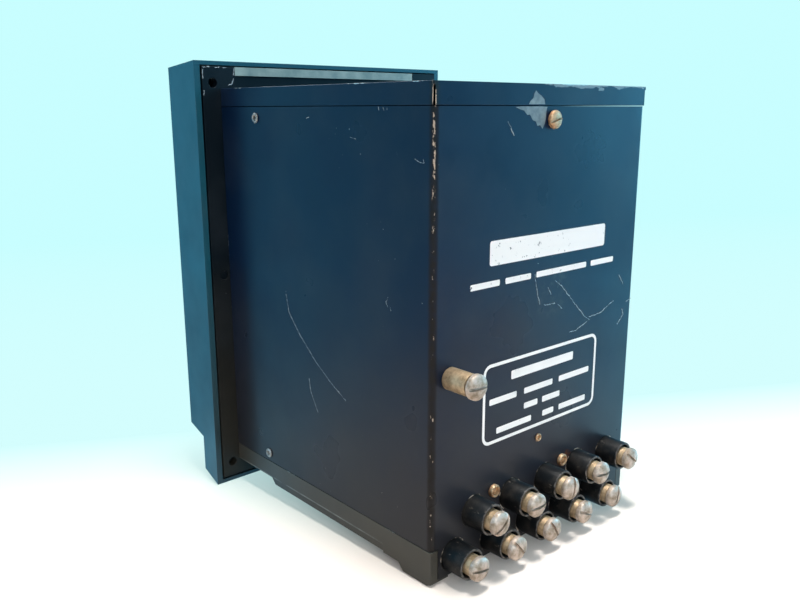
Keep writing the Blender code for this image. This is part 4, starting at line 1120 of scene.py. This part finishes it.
def thin_piece(name, mesh, thickness, material, body, slot_name):
    """Thicken a flat mesh behind its face, and settle it."""
    item = add_object(name, mesh)
    solid = item.modifiers.new("thickness", "SOLIDIFY")
    solid.thickness = thickness
    solid.offset = -1.0
    mesh.materials.append(material)
    settle(item, body, slot_name)


print_shape = bmesh.new()
left, right, foot, top = FRAME_BOX
line = FRAME_LINE
inner_box = (left - line, right + line, foot + line, top - line)
inner = rounded_outline(*inner_box, FRAME_CORNER - line)
add_plate(print_shape, rounded_outline(*FRAME_BOX, FRAME_CORNER), inner)
add_plate(print_shape, rounded_outline(*TITLE_BAR, 1.2))
short_bars = [(left, right, *SUBTITLE_LEVEL) for left, right in SUBTITLE_BARS]
for bar_box in short_bars + list(LABEL_BARS):
    add_plate(print_shape, rounded_outline(*bar_box, 0.6))
bmesh.ops.recalc_face_normals(print_shape, faces=print_shape.faces)
for face in print_shape.faces:
    if face.normal.y < 0:
        face.normal_flip()
print_mesh = finished_mesh("back_print", print_shape)

ink, tree, inputs = plain_material("white_ink", PRINT_WHITE, 0.5)
worn = spread(noise(tree, 420.0, 4.0, 0.65, 5.0), 0.62, 0.66)
worn_area = spread(noise(tree, 30.0, 2.0, 0.5, 6.0), 0.50, 0.60)
give(inputs["Base Color"], mix_colours(worn * worn_area, PRINT_WHITE, PRINT_WORN))
thin_piece("back_print", print_mesh, PRINT_THICKNESS, ink, "case", "painted_steel")

# %% [markdown]
# ## Scratches
#
# A scratch is a thin pale line that wanders and fades. Each one is a short row
# of points, and a second Geometry Nodes tree makes the line: Mesh to Curve, a
# finer resampling, a small random wander and width from noise with a fixed
# seed, and a flat four-sided section swept along it. Only a few hundredths of a
# millimetre of the section stand out of the paint.

# %% Build the scratch tree


def build_scratch_tree():
    """Thin uneven lines along the edges of a mesh."""
    tree, given = start_tree(
        "scratches_on_edges",
        Width="Float",
        Step="Float",
        Wander="Vector",
        Seed="Int",
        Finish="Material",
    )
    curve = step(tree, "GeometryNodeMeshToCurve", {"Mesh": given["Geometry"]}, "Curve")
    spacing = {"Curve": curve, "Length": given["Step"]}
    fine = step(tree, "GeometryNodeResampleCurve", spacing, "Curve", mode="LENGTH")
    back = step(tree, "ShaderNodeVectorMath", {0: given["Wander"], "Scale": -1.0}, operation="SCALE")
    limits = {"Min": back, "Max": given["Wander"], "Seed": given["Seed"]}
    kind = {"data_type": "FLOAT_VECTOR"}
    shift = step(tree, "FunctionNodeRandomValue", limits, "Value", **kind)
    moved = step(tree, "GeometryNodeSetPosition", {"Geometry": fine, "Offset": shift}, "Geometry")
    limits = {2: 0.15, 3: 1.0, "Seed": given["Seed"]}
    width = step(tree, "FunctionNodeRandomValue", limits, 1, data_type="FLOAT")
    ring = {"Resolution": 4, "Radius": given["Width"]}
    section = step(tree, "GeometryNodeCurvePrimitiveCircle", ring, "Curve")
    thin = step(tree, "GeometryNodeSetCurveRadius", {"Curve": moved, "Radius": width}, "Curve")
    scale = step(tree, "GeometryNodeInputRadius", {})
    sweep = {"Curve": thin, "Profile Curve": section, "Scale": scale, "Fill Caps": True}
    swept = step(tree, "GeometryNodeCurveToMesh", sweep, "Mesh")
    return end_tree(tree, swept, given["Finish"])


scratch_tree = build_scratch_tree()

# %% Draw the scratches on the back, the side and a pad of the flange
BACK_SCRATCHES = (
    ((8.2, 133.3), (6.4, 125.8), (3.8, 118.6)),
    ((-11.6, 125.0), (-20.6, 116.5), (-30.8, 107.0), (-34.2, 105.4)),
    ((-34.1, 106.5), (-39.7, 107.0), (-43.9, 107.3), (-48.7, 109.5), (-53.6, 111.2)),
    ((-32.6, 104.7), (-24.1, 101.8), (-18.7, 101.9)),
    ((-57.5, 123.8), (-59.5, 121.5), (-61.5, 118.7)),
    ((-62.1, 105.7), (-63.3, 102.9), (-58.5, 98.6)),
    ((1.0, 118.1), (-7.0, 117.8)),
    ((-9.3, 116.9), (-12.4, 114.0)),
    ((-65.2, 109.4), (-69.2, 110.2)),
    ((29.1, 199.1), (27.2, 196.7), (25.1, 193.1)),
    ((-1.4, 126.0), (-3.8, 122.5)),
    ((-6.2, 128.6), (-11.6, 125.0)),
)
SIDE_SCRATCHES = (
    ((-12.4, 116.4), (-10.3, 107.7), (-1.5, 98.0), (11.1, 87.4), (23.4, 79.6), (33.8, 74.1)),
    ((5.0, 77.8), (6.3, 71.1), (11.7, 62.3)),
    ((8.5, 200.0), (10.8, 200.5)),
    ((39.8, 192.5), (43.8, 191.8)),
    ((58.1, 204.8), (58.7, 203.4)),
    ((61.1, 204.8), (61.7, 203.2)),
    ((63.4, 204.6), (63.6, 203.5)),
    ((79.8, 185.2), (82.1, 184.1), (84.8, 183.9)),
    ((84.3, 185.4), (84.8, 183.9)),
    ((63.6, 128.1), (62.3, 125.7), (63.5, 123.4)),
    ((64.8, 124.0), (65.4, 122.4)),
    ((69.3, 187.6), (69.5, 186.4)),
)

FLANGE_SCRATCHES = (
    ((79.7, 224.5), (75.5, 224.4)),
    ((73.0, 224.4), (70.6, 224.5)),
    ((79.9, 223.4), (79.8, 219.0)),
    ((79.6, 213.0), (79.8, 210.5)),
    ((62.1, 224.2), (62.3, 220.6)),
    ((62.4, 219.2), (63.6, 216.6), (65.8, 215.6)),
    ((68.4, 224.4), (66.4, 224.3)),
)
SCRATCH_SINK = 0.02 * MM
flange_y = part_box("seal_strip")[1].y + 0.1 * MM

# Each row: name, lines, the axis its face is across, the face's place on it,
# wander and width in millimetres, and slot.
SCRATCH_SETS = (
    ("back_scratches", BACK_SCRATCHES, 1, rear_y, (0.25, 0.0, 0.25), 0.28, "painted_steel"),
    ("side_scratches", SIDE_SCRATCHES, 0, shell_high.x, (0.0, 0.12, 0.12), 0.17, "painted_steel"),
    ("flange_scratches", FLANGE_SCRATCHES, 1, flange_y, (0.2, 0.0, 0.2), 0.36, "cast_flange"),
)


def scratch_mesh(name, lines, axis, level):
    """Edges through rows of points on a face."""
    points = []
    edges = []
    for line in lines:
        for index, (along, up) in enumerate(line):
            if index:
                edges.append((len(points) - 1, len(points)))
            place = [along * MM, along * MM, up * MM]
            place[axis] = level - SCRATCH_SINK
            points.append(place)
    return plain_mesh(name, points, edges)


scratch_finish = plain_material("scratched_paint", (0.30, 0.38, 0.43), 0.6)[0]
for name, lines, axis, level, wander, width, slot_name in SCRATCH_SETS:
    values = {
        "Width": width * MM,
        "Step": 0.8 * MM,
        "Wander": tuple(part * MM for part in wander),
        "Seed": 7,
        "Finish": scratch_finish,
    }
    scratches = run_tree(name, scratch_mesh(name, lines, axis, level), scratch_tree, values)
    settle(scratches, "case", slot_name)

# %% [markdown]
# A patch of paint is gone beside the lid's screw, and grey primer shows. Its
# ragged outline is a polygon on the back and a second, smaller one on the lid's
# skirt, each a thin plate like the print.

# %% Make the bare patch
PATCH_LOW = (
    (24.6, 204.6), (21.5, 203.6), (19.4, 203.2), (17.2, 201.4), (15.5, 201.6), (13.6, 199.3),
    (11.6, 198.8), (10.4, 196.9), (8.6, 197.2), (7.0, 195.6), (5.6, 197.8), (4.9, 200.1),
    (4.9, 202.6), (4.2, 204.7), (9.0, 204.9), (15.0, 204.8), (20.0, 204.9),
)
PATCH_HIGH = (
    (16.3, 205.7), (15.4, 207.1), (13.6, 208.2), (12.9, 210.2), (12.0, 211.3), (10.8, 210.3),
    (8.4, 209.2), (6.4, 207.7), (5.7, 205.7),
)
PATCH_THICKNESS = 0.02 * MM
PRIMER_DARK = (0.10, 0.15, 0.18)
PRIMER_PALE = (0.20, 0.27, 0.30)

patch_shape = bmesh.new()
add_plate(patch_shape, PATCH_LOW)
add_plate(patch_shape, PATCH_HIGH)
for vert in patch_shape.verts:
    vert.co.y -= PATCH_THICKNESS
patch_mesh = finished_mesh("bare_patch", patch_shape)
cloud = (260.0, 4.0, 0.6, 9.0)
primer = mottled("grey_primer", PRIMER_DARK, PRIMER_PALE, 0.6, cloud, (0.35, 0.70))
thin_piece("bare_patch", patch_mesh, PATCH_THICKNESS, primer, "case", "painted_steel")

# %% [markdown]
# ## The pieces that keep their shape
#
# A pale strip lies in the recess between the upper pads of the flange. Its CAD
# solid has the right shape already, and so have the chassis and what it holds.
# They only get a finish: assigning to the material slot of a CAD object is
# allowed, moving it isn't.

# %% Dress the CAD pieces that keep their shape


def dress(material, *names):
    """Give CAD nodes a material."""
    for name in names:
        slots = nodes[name].data.materials
        slots.clear()
        slots.append(material)


# Each row: name, two colours, roughness, noise, its limits, metallic, a relief
# of noise, strength and depth in millimetres, and the nodes that are dressed.
DUST_LIMITS = (0.42, 0.78, 0.0, 0.7)
MOTTLED = (
    (
        "pale_strip", (0.32, 0.44, 0.42), (0.14, 0.24, 0.24), 0.55,
        (90.0, 4.0, 0.6, 4.0), (0.35, 0.75), 0.0, None, ("seal_strip",),
    ),
    (
        "black_knob", (0.012, 0.012, 0.013), (0.034, 0.033, 0.032), 0.28,
        (150.0, 5.0, 0.62), DUST_LIMITS, 0.0, ((800.0, 2.0), 0.08, 0.05),
        ("reset_plunger", "dial_1", "dial_2", "dial_3"),
    ),
    (
        "panel_paint", (0.031, 0.032, 0.034), (0.058, 0.058, 0.057), 0.45,
        (60.0, 5.0, 0.62), DUST_LIMITS, 0.0, ((1400.0, 2.0), 0.2, 0.06), ("front_panel",),
    ),
    (
        "board_varnish", (0.02, 0.11, 0.045), (0.06, 0.22, 0.09), 0.35,
        (120.0, 0.0, 0.5, 1.0, (1, 1, 6)), (0.5, 0.52, 0.0, 0.6), 0.0, None,
        ("main_board", "dial_board"),
    ),
    (
        "laminations", (0.10, 0.09, 0.09), (0.19, 0.12, 0.08), 0.5,
        (60.0, 5.0, 0.62), DUST_LIMITS, 0.6,
        ((60.0, 0.0, 0.5, 0.0, (30, 1, 1)), 0.5, 0.2), ("power_transformer",),
    ),
    (
        "smoked_case", (0.17, 0.14, 0.10), (0.28, 0.25, 0.21), 0.15,
        (100.0, 5.0, 0.62), DUST_LIMITS, 0.0, None, ("output_relay",),
    ),
)
for name, first, second, roughness, grain, limits, metallic, relief, dressed in MOTTLED:
    finish = mottled(name, first, second, roughness, grain, limits, metallic, relief)
    dress(finish, *dressed)

nickel = aged_plate("nickel_plate", (0.70, 0.68, 0.63), (0.45, 0.42, 0.37), 0.26, 12.0)
zinc = aged_plate("zinc_sheet", (0.56, 0.57, 0.58), (0.44, 0.45, 0.46), 0.38, 14.0)
dress(zinc, "chassis_frame")
dress(barrel_finish, "connection_plug", "contact_block")
print("dressed:", len(MOTTLED), "mottled finishes")

# %% [markdown]
# The studs go through the flange, and their rear ends were painted with it. One
# material takes both finishes, bright steel and paint, from the Y coordinate.

# %% Dress the studs
PAINT_REACH = 1.0 * MM
STUD_BRIGHT = (0.60, 0.58, 0.53)
STUD_DULL = (0.40, 0.37, 0.32)

stud_finish, tree, inputs = plain_material("stud_finish", STUD_BRIGHT, 0.32, 1.0)
painted = axes(tree)[1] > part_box("mounting_flange")[0].y + PAINT_REACH
dull = spread(noise(tree, 400.0, 3.0), 0.4, 0.7)
steel = mix_colours(dull, STUD_BRIGHT, STUD_DULL)
give(inputs["Base Color"], mix_colours(painted, steel, FLANGE_PAINT))
give(inputs["Metallic"], 1.0 - painted)
dress(stud_finish, "cover_stud_left", "cover_stud_right")

# %% [markdown]
# ## The thumb nuts
#
# Two round nuts on studs hold the cover. Their rims are fluted so that fingers
# can turn them, and each has a plain boss in front. The flutes are a row of
# outline points that dip in and out, which is quicker than cutting each one.

# %% Make the thumb nuts
NUT_FLUTES = 24
FLUTE_POINTS = 6
FLUTE_DEPTH = 0.35 * MM


def fluted_nut(name, node, body):
    """A round nut with a fluted rim and chamfered ends, along Y."""
    low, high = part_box(node)
    x, z = (low.x + high.x) / 2, (low.z + high.z) / 2
    outer = (high.x - low.x) / 2
    profile = (
        (low.y, outer * 0.30, 0.0),
        (low.y, outer * 0.48, 0.0),
        (low.y + 0.6 * MM, outer * 0.58, 0.0),
        (low.y + 3.9 * MM, outer * 0.60, 0.0),
        (low.y + 4.1 * MM, outer * 0.84, 0.0),
        (low.y + 4.8 * MM, outer, FLUTE_DEPTH),
        (high.y - 4.0 * MM, outer, FLUTE_DEPTH),
        (high.y - 3.3 * MM, outer * 0.86, 0.0),
        (high.y - 3.1 * MM, outer * 0.76, 0.0),
        (high.y, outer * 0.74, 0.0),
    )
    shape = bmesh.new()
    rings = []
    count = NUT_FLUTES * FLUTE_POINTS
    for y, radius, depth in profile:
        ring = []
        for index in range(count):
            angle = 2 * math.pi * index / count
            wave = 0.5 - 0.5 * math.cos(2 * math.pi * index / FLUTE_POINTS)
            reach = radius - depth * wave
            place = (x + reach * math.cos(angle), y, z + reach * math.sin(angle))
            ring.append(shape.verts.new(place))
        rings.append(ring)
    for first, second in zip(rings, rings[1:]):
        for index in range(count):
            after = (index + 1) % count
            shape.faces.new((first[index], first[after], second[after], second[index]))
    shape.faces.new(rings[0])
    shape.faces.new(reversed(rings[-1]))
    bmesh.ops.recalc_face_normals(shape, faces=shape.faces)
    mesh = finished_mesh(name, shape)
    mesh.materials.append(nickel)
    mesh.shade_smooth()
    mesh.set_sharp_from_angle(angle=math.radians(35))
    settle(add_object(name, mesh), body, "nickel_plate", node)


for side in ("left", "right"):
    fluted_nut("thumb_nut_" + side, "cover_nut_" + side, "nut_" + side)

# %% [markdown]
# ## The window and the dials' scales
#
# The front isn't in the picture, so it is made as such relays usually have it:
# a clear window, three black dials, and plain white scales with numbers from 0
# to 10. Glass stops a lamp's rays in this renderer, so the window's Alpha is 0
# for shadow rays and the lamps reach the dials behind it. A third tree sets the
# scale marks on an arc round each dial.

# %% Make the window
clear, tree, inputs = plain_material("clear_window", (0.96, 0.98, 0.98), 0.03)
inputs["Transmission Weight"].default_value = 1.0
inputs["IOR"].default_value = 1.46
inputs["Specular IOR Level"].default_value = 0.25
lamp_ray = Term(tree.nodes.new("ShaderNodeLightPath").outputs["Is Shadow Ray"])
give(inputs["Alpha"], 1.0 - lamp_ray)
dress(clear, "cover_window")

# %% Build the scale tree


def build_scale_tree():
    """Short marks on an arc round each point, in the XZ plane."""
    tree, given = start_tree(
        "scale_marks",
        Marks="Int",
        Radius="Float",
        Start="Float",
        Sweep="Float",
        Mark_Size="Vector",
        Finish="Material",
    )
    bend = {
        "Resolution": given["Marks"],
        "Radius": given["Radius"],
        "Start Angle": given["Start"],
        "Sweep Angle": given["Sweep"],
    }
    arc = step(tree, "GeometryNodeCurveArc", bend, "Curve")
    tangent = {"Vector": step(tree, "GeometryNodeInputTangent", {})}
    facing = step(tree, "FunctionNodeAlignRotationToVector", tangent, "Rotation", axis="Y")
    mark = step(tree, "GeometryNodeMeshCube", {"Size": given["Mark Size"]}, "Mesh")
    layout = {"Points": arc, "Instance": mark, "Rotation": facing}
    marks = step(tree, "GeometryNodeInstanceOnPoints", layout, "Instances")
    stand = {"Geometry": marks, "Rotation": (math.radians(90), 0.0, 0.0)}
    upright = step(tree, "GeometryNodeTransform", stand, "Geometry")
    layout = {"Points": given["Geometry"], "Instance": upright}
    scales = step(tree, "GeometryNodeInstanceOnPoints", layout, "Instances")
    return end_tree(tree, scales, given["Finish"])


# %% Set the scales round the dials
DIALS = {1: "dial_one", 2: "dial_two", 3: "dial_three"}
SCALE_MARKS = 11
SCALE_RADIUS = 13.2 * MM
SCALE_START = -50
SCALE_SWEEP = 280
SCALE_LIFT = 0.06 * MM
MARK_SIZE = (1.8 * MM, 0.4 * MM, 0.08 * MM)
NUMBER_RADIUS = 16.2 * MM
NUMBER_SIZE = 3.2 * MM
NUMBER_LIFT = 0.04 * MM
NUMBER_HALF_THICKNESS = 0.02 * MM

panel_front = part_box("front_panel")[0].y
dial_points = []
for index in DIALS:
    x, y, z = middle(f"dial_{index}")
    dial_points.append((x, panel_front - SCALE_LIFT, z))
scale_white = plain_material("scale_white", (0.75, 0.75, 0.72), 0.5)[0]
values = {
    "Marks": SCALE_MARKS,
    "Radius": SCALE_RADIUS,
    "Start": math.radians(SCALE_START),
    "Sweep": math.radians(SCALE_SWEEP),
    "Mark Size": MARK_SIZE,
    "Finish": scale_white,
}
scale_points = plain_mesh("dial_scales", dial_points)
settle(run_tree("dial_scales", scale_points, build_scale_tree(), values), "chassis", "panel_paint")

# %% Write the numbers
stand_up = Matrix.Rotation(math.radians(90), 4, "X")
numbers = bmesh.new()
for x, y, z in dial_points:
    for value in range(0, SCALE_MARKS, 2):
        share = 1 - value / (SCALE_MARKS - 1)
        angle = math.radians(SCALE_START + SCALE_SWEEP * share)
        text = bpy.data.curves.new("number", "FONT")
        text.body = str(value)
        text.size = NUMBER_SIZE
        text.align_x = "CENTER"
        text.align_y = "CENTER"
        text.extrude = NUMBER_HALF_THICKNESS
        written = add_object("number", text)
        mesh = baked(written)
        along = x + NUMBER_RADIUS * math.cos(angle)
        up = z + NUMBER_RADIUS * math.sin(angle)
        place = Vector((along, panel_front - NUMBER_LIFT, up))
        mesh.transform(Matrix.Translation(place) @ stand_up)
        numbers.from_mesh(mesh)
        bpy.data.objects.remove(written, do_unlink=True)
dial_numbers = add_object("dial_numbers", finished_mesh("dial_numbers", numbers))
dial_numbers.data.materials.append(scale_white)
settle(dial_numbers, "chassis", "panel_paint")

# %% [markdown]
# A white line on each dial's pointer rib and another on its skirt show where it points. They ride on
# an empty named for the dial.

# %% Draw the dials' index lines
LINE_HALF = 0.35 * MM
LINE_LIFT = 0.02 * MM
LINE_THICKNESS = 0.03 * MM
DIAL_TOTAL = 10.8 * MM

# Each line: its distance from the dial's middle and its depth behind the
# dial's front, at the start and at the end.
INDEX_LINES = (
    ((0.6 * MM, 0.0), (6.3 * MM, 0.0)),
    ((7.2 * MM, DIAL_TOTAL - 2.4 * MM), (10.6 * MM, DIAL_TOTAL - 1.6 * MM)),
)
for number, body in DIALS.items():
    x, y, z = middle(f"dial_{number}")
    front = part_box(f"dial_{number}")[0].y - LINE_LIFT
    points = []
    for ends in INDEX_LINES:
        (start, start_depth), (end, end_depth) = ends
        points.append((x - LINE_HALF, front + start_depth, z + start))
        points.append((x + LINE_HALF, front + start_depth, z + start))
        points.append((x + LINE_HALF, front + end_depth, z + end))
        points.append((x - LINE_HALF, front + end_depth, z + end))
    name = f"dial_{number}_lines"
    mesh = plain_mesh(name, points, faces=[(0, 1, 2, 3), (4, 5, 6, 7)])
    thin_piece(name, mesh, LINE_THICKNESS, scale_white, body, "black_knob")
